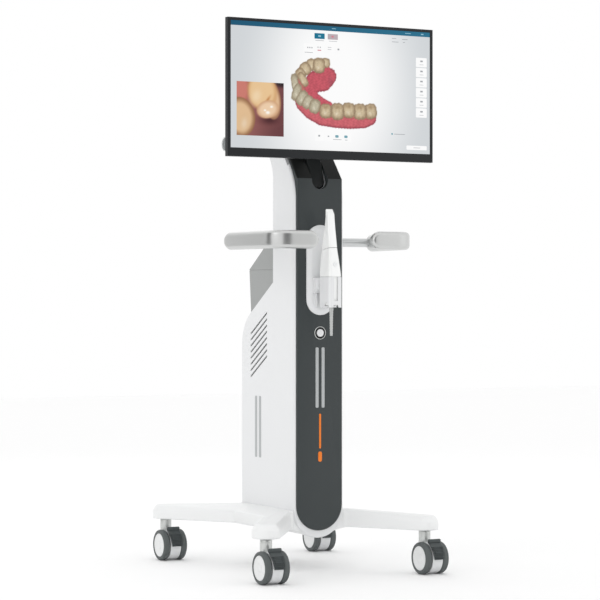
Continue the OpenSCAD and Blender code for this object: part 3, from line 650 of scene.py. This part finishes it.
# Push bar: a tube with a rolled end and a plug set into it
lo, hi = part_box("push_bar")
px0, px1 = lo[0] / MM, hi[0] / MM
py, pz = (lo[1] + hi[1]) / 2 / MM, (lo[2] + hi[2]) / 2 / MM
PUSH_R = 18.0
PUSH_PAINT = material("push_bar_paint", srgb(214, 216, 216), 0.3, metal=0.2, vary=0.02, grain=900, bump=0.08,
                      coat=0.2)
bar = [(15.0, px0 + 1.5), (15.8, px0 + 0.3), (16.6, px0), (17.5, px0 + 0.6), (PUSH_R, px0 + 2.0),
       (PUSH_R, -46.0), (PUSH_R, 46.0), (PUSH_R, px1 - 2.0), (17.5, px1 - 0.6), (16.6, px1),
       (15.8, px1 - 0.3), (15.0, px1 - 1.5)]
piece("push_bar_tube", *lathe_x(bar, 0, py, pz, 96), "cart", PUSH_PAINT, "pale_metal", ("push_bar",),
      angle=40)
# Radius and depth from the bar's end
plug = [(0.3, 13), (14.95, 13), (14.95, 2.6), (14.2, 1.9), (9.0, 1.5), (8.4, 2.2), (7.6, 2.2), (7.0, 1.4),
        (0.3, 1.1)]
plugs = []
for s in (-1, 1):
    e = px1 * s
    plugs.append(lathe_x([(r, e - s * d) for r, d in plug], 0, py, pz, 64))
piece("push_bar_end_plugs", *join(plugs), "cart", GREY, "black_plastic", ("push_bar_plugs",), angle=30)

# Handle bar: a satin steel bar with a dished collar where it leaves each side
lo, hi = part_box("handle_bar")
hy, hz = (lo[1] + hi[1]) / 2 / MM, (lo[2] + hi[2]) / 2 / MM
half_bar = hi[0] / MM
BAR_R, COLLAR_R, COLLAR_X = 10.5, 16.0, 66.1
half_prof = [(BAR_R, COLLAR_X), (COLLAR_R, COLLAR_X), (COLLAR_R, 70.2), (15.6, 71.4), (14.6, 71.9),
             (11.4, 72.8), (BAR_R, 74.2), (BAR_R, half_bar - 1), (9.6, half_bar), (0.3, half_bar)]
prof = [(r, -x) for r, x in reversed(half_prof)] + half_prof
piece("handle_bar_chrome", *lathe_x(prof, 0, hy, hz, 80), "cart", BAR_STEEL, "chrome", ("handle_bar",),
      angle=30)


# ---------------------------------------------------------------- grips

GRIP_TOE = math.radians(5)
GRIP_BEND = 28.0
GRIP_HALF_T, GRIP_HALF_H = 11.0, 21.0
GRIP_END_R = 6.5


def grip(side):
    """A rounded section swept along the side arm, round the elbow and back to the middle."""
    name = "grip_right" if side > 0 else "grip_left"
    lo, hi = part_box(name)
    z = (lo[2] + hi[2]) / 2 / MM
    front_y = lo[1] / MM + GRIP_HALF_T
    end_x = min(abs(lo[0]), abs(hi[0])) / MM
    d0 = Vector((-math.sin(GRIP_TOE), -math.cos(GRIP_TOE)))
    start = Vector((max(abs(lo[0]), abs(hi[0])) / MM - GRIP_HALF_T * math.cos(GRIP_TOE),
                    hi[1] / MM - GRIP_HALF_T * math.sin(GRIP_TOE)))
    run = (start.y - front_y) / math.cos(GRIP_TOE)
    turn = math.pi / 2 - GRIP_TOE
    # The bend's curvature comes and goes smoothly, and is 1 / GRIP_BEND at its middle.
    bends = 40
    step = 1.5 * turn * GRIP_BEND / bends
    bend, heading = [(Vector((0.0, 0.0)), d0)], d0
    for i in range(bends):
        a = turn * smooth(0, 1, (i + 0.5) / bends)
        heading = Vector((-math.sin(GRIP_TOE + a), -math.cos(GRIP_TOE + a)))
        after = turn * smooth(0, 1, (i + 1) / bends)
        leaving = Vector((-math.sin(GRIP_TOE + after), -math.cos(GRIP_TOE + after)))
        bend.append((bend[-1][0] + heading * step, leaving))
    tangent = bend[-1][0].length / (d0 + Vector((-1, 0))).length
    arm = run - tangent
    entry = start + d0 * arm
    near_end = [GRIP_HALF_H * (1 - math.cos(math.radians(a)))
                for a in (2, 8, 16, 25, 34, 43, 52, 61, 70, 80, 90)]
    path = [(start + d0 * t, d0, t) for t in near_end + [40.0, 80.0, 120.0, 160.0, arm - 3]]
    path += [(entry + at, d, 99.0) for at, d in bend]
    span = path[-1][0].x - end_x
    for t in [span - 3, (span + 21) / 2] + near_end[::-1]:
        path.append((Vector((end_x + t, front_y)), Vector((-1, 0)), t))
    rings = []
    for at, d, t in path:
        tall = math.sqrt(max(0.0, GRIP_HALF_H ** 2 - max(0.0, GRIP_HALF_H - t) ** 2))
        cut = math.sqrt(max(0.0, GRIP_END_R ** 2 - max(0.0, GRIP_END_R - t) ** 2))
        thick = GRIP_HALF_T - GRIP_END_R + cut
        across = Vector((d.y, -d.x))
        ring = []
        for u, v in rrect(thick, tall, min(10.4, thick * 0.96), per=8):
            q = at + across * u
            ring.append((side * q.x, q.y, z + v))
        rings.append(ring)
    piece(name + "_moulding", *loft(rings), "cart", GRIP, "silver_plastic", (name,), angle=50)


for side in (1, -1):
    grip(side)


# ---------------------------------------------------------------- cradle and scanner

plate_lo, plate_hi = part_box("cradle_plate")
yb, yf = plate_hi[1] / MM, plate_lo[1] / MM
z0, z1 = plate_lo[2] / MM, plate_hi[2] / MM
plate_r = plate_hi[0] / MM
rings = []
for inset, y in ((0, yb), (0, yb - 2.2), (0.5, yb - 3.2), (1.4, yb - 4.0), (9.5, yf + 0.5), (10.8, yf + 0.08),
                 (12.0, yf)):
    rings.append([(x, y, z) for x, z in stadium(plate_r - inset, z0 + inset, z1 - inset, 24)])
piece("cradle_plate_moulding", *loft(rings), "cart", WHITE, "white_plastic", ("cradle_plate",), angle=25)
softened("cradle_cup", 0.9, WHITE, "cart", angle=30)
# Thin stiffening ribs under the cup's arm
ribs = [slab(s * 17 - 0.9, s * 17 + 0.9, yf - 7.0, yf + 0.4, 621.0, 657.0, r=3, axis="x") for s in (-1, 1)]
piece("cradle_ribs", *join(ribs), "cart", WHITE, "white_plastic")


SECTION_ROUND = 0.3


def section(z, hw, y0, y1, slope=0.0, inset=0.0):
    """A section of the scanner at height z in front, and at z + slope at its back."""
    my, hd = (y0 + y1) / 2, (y1 - y0) / 2
    pts = []
    for u, v in rrect(hw - inset, hd - inset, (hw - inset) * SECTION_ROUND + 1.0, per=8):
        pts.append((u, my + v, z + slope * (v + hd) / (2 * hd)))
    return pts


SEAM_SLOPE, SEAM_Z0 = -5.0, 756.5
BODY_SECTIONS = [(627.0, 12.0, -198.0, -154.0), (628.0, 12.7, -198.7, -153.3),
                 (630.0, 13.0, -199.0, -153.0), (692.4, 13.0, -199.0, -153.0),
                 (693.3, 14.6, -201.0, -151.0), (694.2, 15.6, -201.8, -149.7),
                 (696.5, 16.0, -202.2, -149.0), (705.0, 15.6, -200.6, -148.8),
                 (718.0, 14.5, -198.6, -148.8), (730.0, 13.5, -196.4, -149.2),
                 (745.0, 12.2, -193.9, -150.2)]
body_rings = [section(*v) for v in BODY_SECTIONS]
for z, grow in ((SEAM_Z0, 0.0), (760.4, 0.0), (761.0, -0.5)):
    w = 11.1 - (z - SEAM_Z0) * 0.08 + grow
    body_rings.append(section(z, w, -191.9 - grow, -150.9 + grow,
                              slope=SEAM_SLOPE * min(1.0, (z - 745) / 15)))
nose = slab(-7.0, 7.0, -180.0, -165.0, 755.0, 800.0, r=3, axis="z")
piece("scanner_body_shell", *join([loft(body_rings), nose]), "scanner", SCANNER, "scanner_white",
      ("scanner_body",), angle=40)

tip_rings = [section(761.9, 10.2, -190.7, -151.7, slope=SEAM_SLOPE),
             section(762.6, 10.8, -191.3, -151.2, slope=SEAM_SLOPE)]
TIP_SECTIONS = [(775.0, 10.6, -189.4, -154.2), (790.0, 10.2, -186.8, -158.2),
                (806.0, 9.8, -184.3, -161.8), (822.0, 9.4, -182.6, -164.4), (832.0, 9.1, -181.6, -165.8)]
tip_rings += [section(*v) for v in TIP_SECTIONS]


def tip_top(y):
    """The tip's end: level at the back, then falling to the front."""
    return min(851.6, 836.0 + (y + 181.0) * 1.75)


for inset, drop in ((0.0, 1.6), (0.25, 0.7), (0.8, 0.15), (1.6, 0.0)):
    flat = section(0, 9.0, -181.2, -166.2, inset=inset)
    tip_rings.append([(x, y, tip_top(y) - drop) for x, y, z in flat])
bore = [[(x, y, z) for x, y in ((-7.3, -180.3), (7.3, -180.3), (7.3, -164.7), (-7.3, -164.7))]
        for z in (761.0, 808.0)]


def hollow_loft(outer, hole):
    """A loft with a blind square hole up from its first ring."""
    verts, faces = loft(outer)
    n = len(outer[0])
    # The top's two planes are laid as strips across, in place of the loft's two flat caps.
    faces = faces[:-2]
    top = len(verts) - n
    q = n // 4
    right = list(range(q - 1, -1, -1)) + list(range(n - 1, 3 * q - 1, -1))
    left = list(range(q, 3 * q))
    faces += [[top + right[i], top + right[i + 1], top + left[i + 1], top + left[i]]
              for i in range(2 * q - 1)]
    base = len(verts)
    verts += hole[0] + hole[1]
    faces += [[base + i, base + (i + 1) % 4, base + 4 + (i + 1) % 4, base + 4 + i] for i in range(4)]
    faces.append([base + 4, base + 5, base + 6, base + 7])
    # The first ring's quarters each fan to one corner of the hole.
    ring = outer[0]

    def nearest(p):
        return min(range(4), key=lambda i: (hole[0][i][0] - p[0]) ** 2 + (hole[0][i][1] - p[1]) ** 2)

    for i in range(n):
        j = (i + 1) % n
        a, b = nearest(ring[i]), nearest(ring[j])
        faces.append([i, base + a, j] if a == b else [i, base + a, base + b, j])
    return verts, faces


piece("scanner_tip_sleeve", *hollow_loft(tip_rings, bore), "scanner_tip", SCANNER, "scanner_white",
      ("scanner_tip",), angle=40)
piece("tip_window", *slab(-5.4, 5.4, -166.4, -165.9, 823.0, 838.0, r=3), "scanner_tip", GLASS, "display")
piece("tip_window_rim", *slab(-6.4, 6.4, -167.4, -166.2, 822.0, 839.0, r=3.8), "scanner_tip", GREY,
      "grey_trim")

button = [(0.3, -191.2), (4.9, -191.2), (4.9, -199.2), (4.5, -199.9), (3.6, -200.0), (2.4, -199.8),
          (0.3, -199.7)]
piece("scanner_button_cap", *lathe_y(button, 0, 722.0, 48), "scanner_button", SCAN_BUTTON, "grey_trim",
      ("scanner_button",), angle=35)

# Strain relief: a taper with raised rings
BOOT_RINGS, BOOT_PITCH = 9, 6.0
boot = [(2.0, 556.2), (2.8, 556.0), (3.1, 556.6)]
for i in range(BOOT_RINGS):
    z = 560.0 + i * BOOT_PITCH
    r = 3.05 + 1.15 * (z - 556) / 66.0
    boot += [(r, z), (r + 0.42, z + 1.0), (r + 0.42, z + 3.2), (r, z + 4.2)]
boot += [(4.3, 614.5), (5.0, 616.0), (5.0, 620.5), (4.2, 621.5), (4.2, 633.0), (2.0, 633.0)]
piece("strain_relief", *lathe_z(boot, 0, -180.0, 40), "scanner", RUBBER, "grey_rubber", ("cable_boot",),
      angle=35)

# Power button and its ring
b_lo, b_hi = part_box("power_button")
face = b_lo[1] / MM
bz = (b_lo[2] + b_hi[2]) / 2 / MM
cap = [(0.3, b_hi[1] / MM), (9.0, b_hi[1] / MM), (9.0, face + 1.0), (8.6, face + 0.25), (7.8, face),
       (3.4, face + 0.15), (3.0, face + 0.6), (0.3, face + 0.6)]
piece("power_button_cap", *lathe_y(cap, 0, bz, 64), "power_button", WHITE, "white_plastic", ("power_button",),
      angle=30)
r_lo, r_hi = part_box("button_ring")
ry0, ry1 = r_lo[1] / MM, r_hi[1] / MM
well = [(9.35, ry1 + 0.1), (9.35, ry0 + 0.3), (9.8, ry0 + 0.1), (10.4, ry0 + 0.6), (13.7, ry0 + 0.6),
        (13.7, ry1 + 0.1)]
piece("power_button_well", *lathe_y(well, 0, bz, 64), "cart", SLOT_DARK, "grey_trim", ("button_ring",),
      angle=30)
rim = [(13.7, ry1 + 0.1), (13.7, ry0 + 0.4), (14.0, ry0), (14.8, ry0), (15.2, ry0 + 0.4), (15.2, ry1 + 0.1)]
piece("power_button_rim", *lathe_y(rim, 0, bz, 64), "cart", HOUSING, "grey_trim", angle=30)
mark = [(0.2, face + 0.7), (2.6, face + 0.7), (2.6, face + 0.45), (2.3, face + 0.3), (0.2, face + 0.3)]
piece("power_button_mark", *lathe_y(mark, 0, bz, 32), "power_button", HUB, "grey_trim", angle=30)

# Plain inlays in place of any printed marking
PANEL_FRONT, INLAY_IN, INLAY_OUT = -125.0, 65.8, 66.5
grey = [slab(s * 8 - 4, s * 8 + 4, PANEL_FRONT - 0.5, PANEL_FRONT + 0.3, 386, 528, r=2.5) for s in (-1, 1)]
for s in (-1, 1):
    face0, face1 = sorted((s * INLAY_IN, s * INLAY_OUT))
    for y in (51, 72):
        grey.append(slab(face0, face1, y, y + 11, 260, 408, r=3, axis="x"))
piece("grey_inlay_strips", *join(grey), "cart", INLAY, "grey_trim", ("grey_inlays",))
orange = [slab(-2.5, 2.5, PANEL_FRONT - 0.5, PANEL_FRONT + 0.3, 290, 372, r=2.4),
          slab(-5, 5, PANEL_FRONT - 0.5, PANEL_FRONT + 0.3, 259, 283, r=4.6)]
piece("orange_inlay_strips", *join(orange), "cart", ORANGE, "orange_trim", ("orange_inlays",))

# ---------------------------------------------------------------- rear bin

# Millimetres: the groove's height on the bin, its depth, half width and half floor, and the bin's sides
SEAM_Z = 712.0
GROOVE, GROOVE_HALF, GROOVE_FLOOR = 0.9, 0.9, 0.4
BIN_SIDE_X = 61.9


def bin_seam(bm):
    """A fine groove round the bin where its upper part begins."""
    for z in (SEAM_Z - GROOVE_HALF, SEAM_Z - GROOVE_FLOOR, SEAM_Z + GROOVE_FLOOR, SEAM_Z + GROOVE_HALF):
        bmesh.ops.bisect_plane(bm, geom=bm.verts[:] + bm.edges[:] + bm.faces[:], plane_co=(0, 0, z * MM),
                               plane_no=(0, 0, 1))
    for v in bm.verts:
        if abs(v.co.z - SEAM_Z * MM) < 0.5 * MM and abs(v.co.x) > BIN_SIDE_X * MM:
            v.co.x -= math.copysign(GROOVE * MM, v.co.x)


softened("rear_bin", 0.9, BIN, "cart", angle=50, prepare=bin_seam)
softened("bin_lid", 0.8, BIN, "bin_lid", angle=28)

# ---------------------------------------------------------------- monitor

softened("monitor_frame", 1.2, BEZEL, "monitor", angle=40)
softened("monitor_back", 2.0, BACK, "monitor", angle=10)
dress("vesa_plate", ARM)
softened("tilt_bracket", 1.2, ARM, "monitor", angle=30)
dress("monitor_screws", STEEL)

dress("display_panel", GLASS)

# ---------------------------------------------------------------- screen

SCREEN_Y = -186.25
SCREEN_X, SCREEN_Z0, SCREEN_Z1 = 264.4, 987.1, 1276.9
TILE_X, TILE_Z, TILE_W, TILE_H = -249.5, 1015.5, 121.0, 123.0
HEADER_H = 11.0
JAW_X, JAW_Z = (-112, 122), (1034, 1208)
GRID_FINE, GRID_COARSE = 1.5, 9.0
ENAMEL, ENAMEL_EDGE = (204, 186, 154), (146, 124, 98)
ENAMEL_GREY, ENAMEL_GREY_EDGE = (192, 184, 160), (150, 136, 112)


def blob(x, z, cx, cz, rx, rz, turn=0.0):
    """Distance from an ellipse's middle, 1 on its rim."""
    a = math.radians(turn)
    u, v = x - cx, z - cz
    return math.hypot((u * math.cos(a) + v * math.sin(a)) / rx, (v * math.cos(a) - u * math.sin(a)) / rz)


def ribbon(x, z, path):
    """Distance to a tapering band through (x, z, radius) points, 1 on its rim."""
    best = 9.0
    for (ax, az, ar), (bx, bz, br) in zip(path, path[1:]):
        dx, dz = bx - ax, bz - az
        t = max(0.0, min(1.0, ((x - ax) * dx + (z - az) * dz) / (dx * dx + dz * dz)))
        d = math.hypot(x - ax - dx * t, z - az - dz * t) / (ar + (br - ar) * t)
        best = min(best, d)
    return best


def paint(colour, d, inner, rim, soft=0.10, core=0.45):
    """Lay a shaded shape over a colour, where d is 1 on the shape's rim."""
    if d >= 1:
        return colour
    return mix3(colour, mix3(inner, rim, smooth(core, 1.0, d)), min(1.0, (1 - d) / soft))


def tooth(x, z, cx, cz, rx, rz, turn=0.0):
    """As blob, but squarer."""
    a = math.radians(turn)
    u, v = x - cx, z - cz
    p, q = abs(u * math.cos(a) + v * math.sin(a)) / rx, abs(v * math.cos(a) - u * math.sin(a)) / rz
    return (p ** 2.8 + q ** 2.8) ** (1 / 2.8)


# A lower jaw seen from above and in front: gum behind, the far teeth, then the near gum and teeth.
FAR_GUM = [(-16, 1176, 10), (-10, 1160, 21), (-24, 1146, 22), (-46, 1146, 26), (-62, 1128, 18),
           (-48, 1110, 13), (-26, 1100, 9), (-6, 1096, 5)]
LOWER_GUM = [(-94, 1108, 9), (-84, 1090, 12), (-60, 1074, 16), (-30, 1062, 18), (8, 1058, 18),
             (46, 1057, 18), (84, 1059, 17), (102, 1066, 16)]
ROOTS = [(-78, 1172, 12), (-84, 1160, 13), (-85, 1147, 14), (-85, 1132, 14), (-84, 1112, 13),
         (-50, 1090, 13), (-18, 1078, 13), (100, 1076, 14)]
FAR_TEETH = [(-19, 1191, 13, 12, 0), (-56, 1185, 13, 15, 20), (-36, 1184, 17, 19, 0),
             (-72, 1175, 15, 16, 30), (-84, 1162, 13, 15, 40), (-78, 1150, 10, 20, 35)]
NEAR_TEETH = [(-99, 1140, 10, 24, 10), (-95, 1120, 11, 22, -22), (-81, 1107, 13, 20, -32),
              (-66, 1098, 13, 18, -30), (-47, 1089, 15, 18, -18), (102, 1083, 18, 19, 12),
              (-18, 1079, 18, 18, 0), (73, 1081, 20, 20, 4), (43, 1083, 19, 19, -4),
              (13, 1079, 19, 21, 3)]


def jaw(x, z, colour):
    """Lay the jaw's gum and teeth over a colour at one point of the screen."""
    ripple = 0.05 * math.sin(x * 0.8 + z * 0.3) * math.sin(z * 0.6)
    colour = paint(colour, ribbon(x, z, FAR_GUM) + ripple, (196, 88, 100), (146, 62, 74), 0.06, 0.7)
    fold = blob(x, z, -4, 1146, 15, 27, 15)
    if ribbon(x, z, FAR_GUM) < 0.9:
        colour = paint(colour, fold, (170, 80, 94), (202, 92, 104), 0.9, 0.1)
    colour = paint(colour, ribbon(x, z, LOWER_GUM) + ripple * 0.6, (202, 100, 108), (148, 62, 74), 0.08, 0.55)
    colour = paint(colour, ribbon(x, z, ROOTS), (186, 112, 104), (176, 92, 94), 0.1, 0.5)
    if min(ribbon(x, z, FAR_GUM), ribbon(x, z, LOWER_GUM)) < 1:
        swirl = 0.07 * math.sin(x * 0.45 + 2.2 * math.sin(z * 0.31))
        mottle = 1 + swirl * math.cos(z * 0.52 + 1.3 * math.sin(x * 0.27))
        colour = tuple(c * mottle for c in colour)
    for i, t in enumerate(FAR_TEETH + NEAR_TEETH):
        near = i >= len(FAR_TEETH)
        front = near and t[0] < -40
        d = tooth(x, z, *t) + 0.04 * math.sin(x * 0.55 + i * 2) * math.cos(z * 0.5)
        if d >= 1:
            continue
        inner, rim = (ENAMEL_GREY, ENAMEL_GREY_EDGE) if front else (ENAMEL, ENAMEL_EDGE)
        colour = paint(colour, d, inner, rim, 0.10, 0.4)
        if near and not front:
            # The chewing face lies on top, and is darker towards its middle.
            top = tooth(x, z, t[0], t[1] + t[3] * 0.5, t[2] * 0.78, t[3] * 0.4)
            colour = paint(colour, top, (172, 150, 118), (196, 174, 142), 0.7, 0.1)
        shine = blob(x, z, t[0] - t[2] * 0.1, t[1] - t[3] * 0.25, t[2] * 0.5, t[3] * 0.4)
        colour = paint(colour, shine, mix3(inner, (250, 244, 228), 0.4), inner, 0.9, 0.0)
        scuff = 0.09 * math.sin(x * 1.3 + 2 * math.sin(z * 0.9 + i))
        wear = 1 + scuff * math.cos(z * 1.1 + 1.7 * math.sin(x * 0.7))
        colour = tuple(c * wear for c in colour)
    return colour


# Shapes on the close-up tile in the order they are painted: middle, radii, turn, inner and rim colours,
# softness of the rim and size of the core
CLOSE_UP = (
    (0.10, 0.86, 0.20, 0.34, 0, (204, 124, 112), (172, 98, 90), 0.3, 0.45),
    (0.70, 0.30, 0.36, 0.16, 0, (80, 42, 44), (120, 70, 68), 0.9, 0.1),
    (0.98, 1.0, 0.30, 0.12, 0, (46, 34, 36), (92, 58, 56), 0.7, 0.45),
    (0.76, 0.66, 0.19, 0.36, 6, (224, 186, 146), (150, 104, 78), 0.07, 0.6),
    (0.54, 0.84, 0.34, 0.40, 10, (234, 198, 150), (202, 152, 100), 0.2, 0.6),
    (0.42, 0.74, 0.20, 0.26, -30, (240, 212, 172), (232, 194, 146), 0.8, 0.1),
    (0.66, 0.68, 0.17, 0.05, 52, (196, 136, 82), (222, 180, 134), 0.9, 0.0),
    (0.66, 0.50, 0.26, 0.18, 14, (238, 206, 172), (206, 160, 122), 0.16, 0.5),
    (0.08, 0.34, 0.32, 0.38, 12, (226, 190, 148), (150, 106, 74), 0.06, 0.6),
    (0.16, 0.22, 0.14, 0.22, -10, (232, 206, 174), (220, 186, 144), 0.8, 0.0),
)


def close_up(u, v):
    """Teeth near the lens, with u and v from 0 to 1 across the tile."""
    colour = mix3((152, 96, 92), (106, 62, 64), smooth(0.2, 1.0, u * 0.9 + (0.5 - v) * 0.3))
    for cx, cy, rx, ry, turn, inner, rim, soft, core in CLOSE_UP:
        colour = paint(colour, blob(u, v, cx, cy, rx, ry, turn), inner, rim, soft, core)
    for su, sv, sr in ((0.66, 0.44, 0.05), (0.74, 0.55, 0.035), (0.60, 0.48, 0.03)):
        colour = paint(colour, blob(u, v, su, sv, sr * 1.5, sr), (255, 252, 244), (240, 214, 184), 0.6, 0.1)
    return colour


def screen_colour(x, z):
    """The picture's display colour at one point of the screen."""
    if z > SCREEN_Z1 - HEADER_H:
        return mix3((24, 86, 116), (38, 112, 142), (x + SCREEN_X) / (2 * SCREEN_X))
    u, v = (x - TILE_X) / TILE_W, (z - TILE_Z) / TILE_H
    if 0 < u < 1 and 0 < v < 1:
        return close_up(u, v)
    away = blob(x, z, 8, 1140, 235, 330)
    colour = mix3((255, 255, 255), (212, 216, 219), smooth(0.28, 1.15, away))
    if JAW_X[0] < x < JAW_X[1] and JAW_Z[0] < z < JAW_Z[1]:
        colour = jaw(x, z, colour)
    return colour


def grid_lines(marks, zones):
    """Grid lines between marks: fine inside the zones and coarse outside them."""
    lines = []
    for lo, hi in zip(marks, marks[1:]):
        mid = (lo + hi) / 2
        pitch = GRID_FINE if any(a < mid < b for a, b in zones) else GRID_COARSE
        n = max(1, round((hi - lo) / pitch))
        lines += [lo + (hi - lo) * i / n for i in range(n)]
    return lines + [marks[-1]]


def picture():
    """The screen's picture: one grid of points, each painted with its own colour."""
    e = 0.02
    tile_x, tile_z = (TILE_X, TILE_X + TILE_W), (TILE_Z, TILE_Z + TILE_H)
    top = SCREEN_Z1 - HEADER_H
    x_marks = (-SCREEN_X, tile_x[0] - e, tile_x[0] + e, tile_x[1] - e, tile_x[1] + e, *JAW_X, SCREEN_X)
    z_marks = (SCREEN_Z0, tile_z[0] - e, tile_z[0] + e, tile_z[1] - e, tile_z[1] + e, *JAW_Z, top - e, top + e,
               SCREEN_Z1)
    xs = grid_lines(sorted(x_marks), (tile_x, JAW_X))
    zs = grid_lines(sorted(z_marks), (tile_z, JAW_Z))
    nx, nz = len(xs), len(zs)
    verts = [(x, SCREEN_Y, z) for z in zs for x in xs]
    faces = [[j * nx + i, j * nx + i + 1, (j + 1) * nx + i + 1, (j + 1) * nx + i]
             for j in range(nz - 1) for i in range(nx - 1)]
    # A thin body behind the face closes the mesh.
    rim = (list(range(nx)) + [j * nx + nx - 1 for j in range(1, nz)]
           + [(nz - 1) * nx + i for i in range(nx - 2, -1, -1)] + [j * nx for j in range(nz - 2, 0, -1)])
    base = len(verts)
    verts += [(verts[i][0], SCREEN_Y + 0.04, verts[i][2]) for i in rim]
    n = len(rim)
    faces += [[rim[k], base + k, base + (k + 1) % n, rim[(k + 1) % n]] for k in range(n)]
    faces.append(list(range(base, base + n)))
    ob = piece("screen_picture", verts, faces, "monitor", PICTURE, "display", angle=60)
    tint = ob.data.color_attributes.new("picture", "FLOAT_COLOR", "POINT")
    for i, v in enumerate(ob.data.vertices):
        tint.data[i].color = srgb(*screen_colour(v.co.x / MM, v.co.z / MM))


picture()


def screen_tiles(name, mat, boxes, r=2.0, front=0.06):
    """Plain tiles, marks or buttons a hair proud of the picture, none of them with lettering."""
    parts = [slab(x0, x1, SCREEN_Y - front, SCREEN_Y - 0.01, z0, z1, r=r) for x0, x1, z0, z1 in boxes]
    piece(name, *join(parts), "monitor", mat, "display")


screen_tiles("screen_toolbars", LIT_WHITE,
             [(-76 + 27 * i, -50 + 27 * i, 1212, 1234) for i in range(4)]
             + [(-47 + 24.6 * i, -23.5 + 24.6 * i, 1009, 1030) for i in range(4)]
             + [(226, 256, 1073.5 + 24 * i, 1095.5 + 24 * i) for i in range(6)]
             + [(200, 256, 996, 1006)])
screen_tiles("screen_case_tile", LIT_BLUE, [(-48, -21, 1246, 1259)], 0.8)
screen_tiles("screen_case_tile_grey", LIT_PINK, [(-13, 14, 1246, 1259)], 0.8)
marks = [(-46, -23, 1241.6, 1242.8), (-10, 12, 1241.6, 1242.6), (-74, -52, 1212.6, 1213.8)]
marks += [(-67 + 5.4 * i, -64 + 5.4 * i, 1223, 1226) for i in range(3)]
marks += [(-40 + 6 * i, -37.4 + 6 * i, 1225, 1228) for i in range(2)]
marks += [(-13, -3, 1222, 1223), (-13, -3, 1227, 1228), (13, 18, 1222, 1226)]
marks += [(-38, -33, 1019, 1023), (1, 24, 1013, 1014.2), (33, 40, 1012.6, 1013.8), (-13, -9, 1019, 1022)]
marks += [(238, 245, 1085.5 + 24 * i, 1089.5 + 24 * i) for i in range(6)]
marks += [(236, 247, 1078.6 + 24 * i, 1079.6 + 24 * i) for i in range(6)]
marks += [(160, 172, 1257, 1258.4), (160, 178, 1249, 1250.4), (188, 203, 1256, 1257.6),
          (190, 196, 1249, 1250.4)]
marks += [(166, 196, 1031, 1032.4), (219, 238, 1000.4, 1001.6)]
screen_tiles("screen_marks", LIT_GREY, marks, 0.5, 0.1)
screen_tiles("screen_view_icons", LIT_TEAL,
             [(7, 16, 1018, 1024), (31, 40, 1018, 1024), (158, 163, 1030, 1034)], 2.0, 0.1)
screen_tiles("screen_arch_icon", LIT_GUM, [(-40, -30, 1218.4, 1220.6), (-3, 3, 1251, 1255)], 1.0, 0.1)
screen_tiles("screen_header_marks", LIT_SKY,
             [(-2, 9, 1271, 1272.4), (196, 212, 1271, 1272.4), (240, 247, 1270.4, 1273),
              (-38, -31, 1250.5, 1254.5)], 0.6, 0.1)
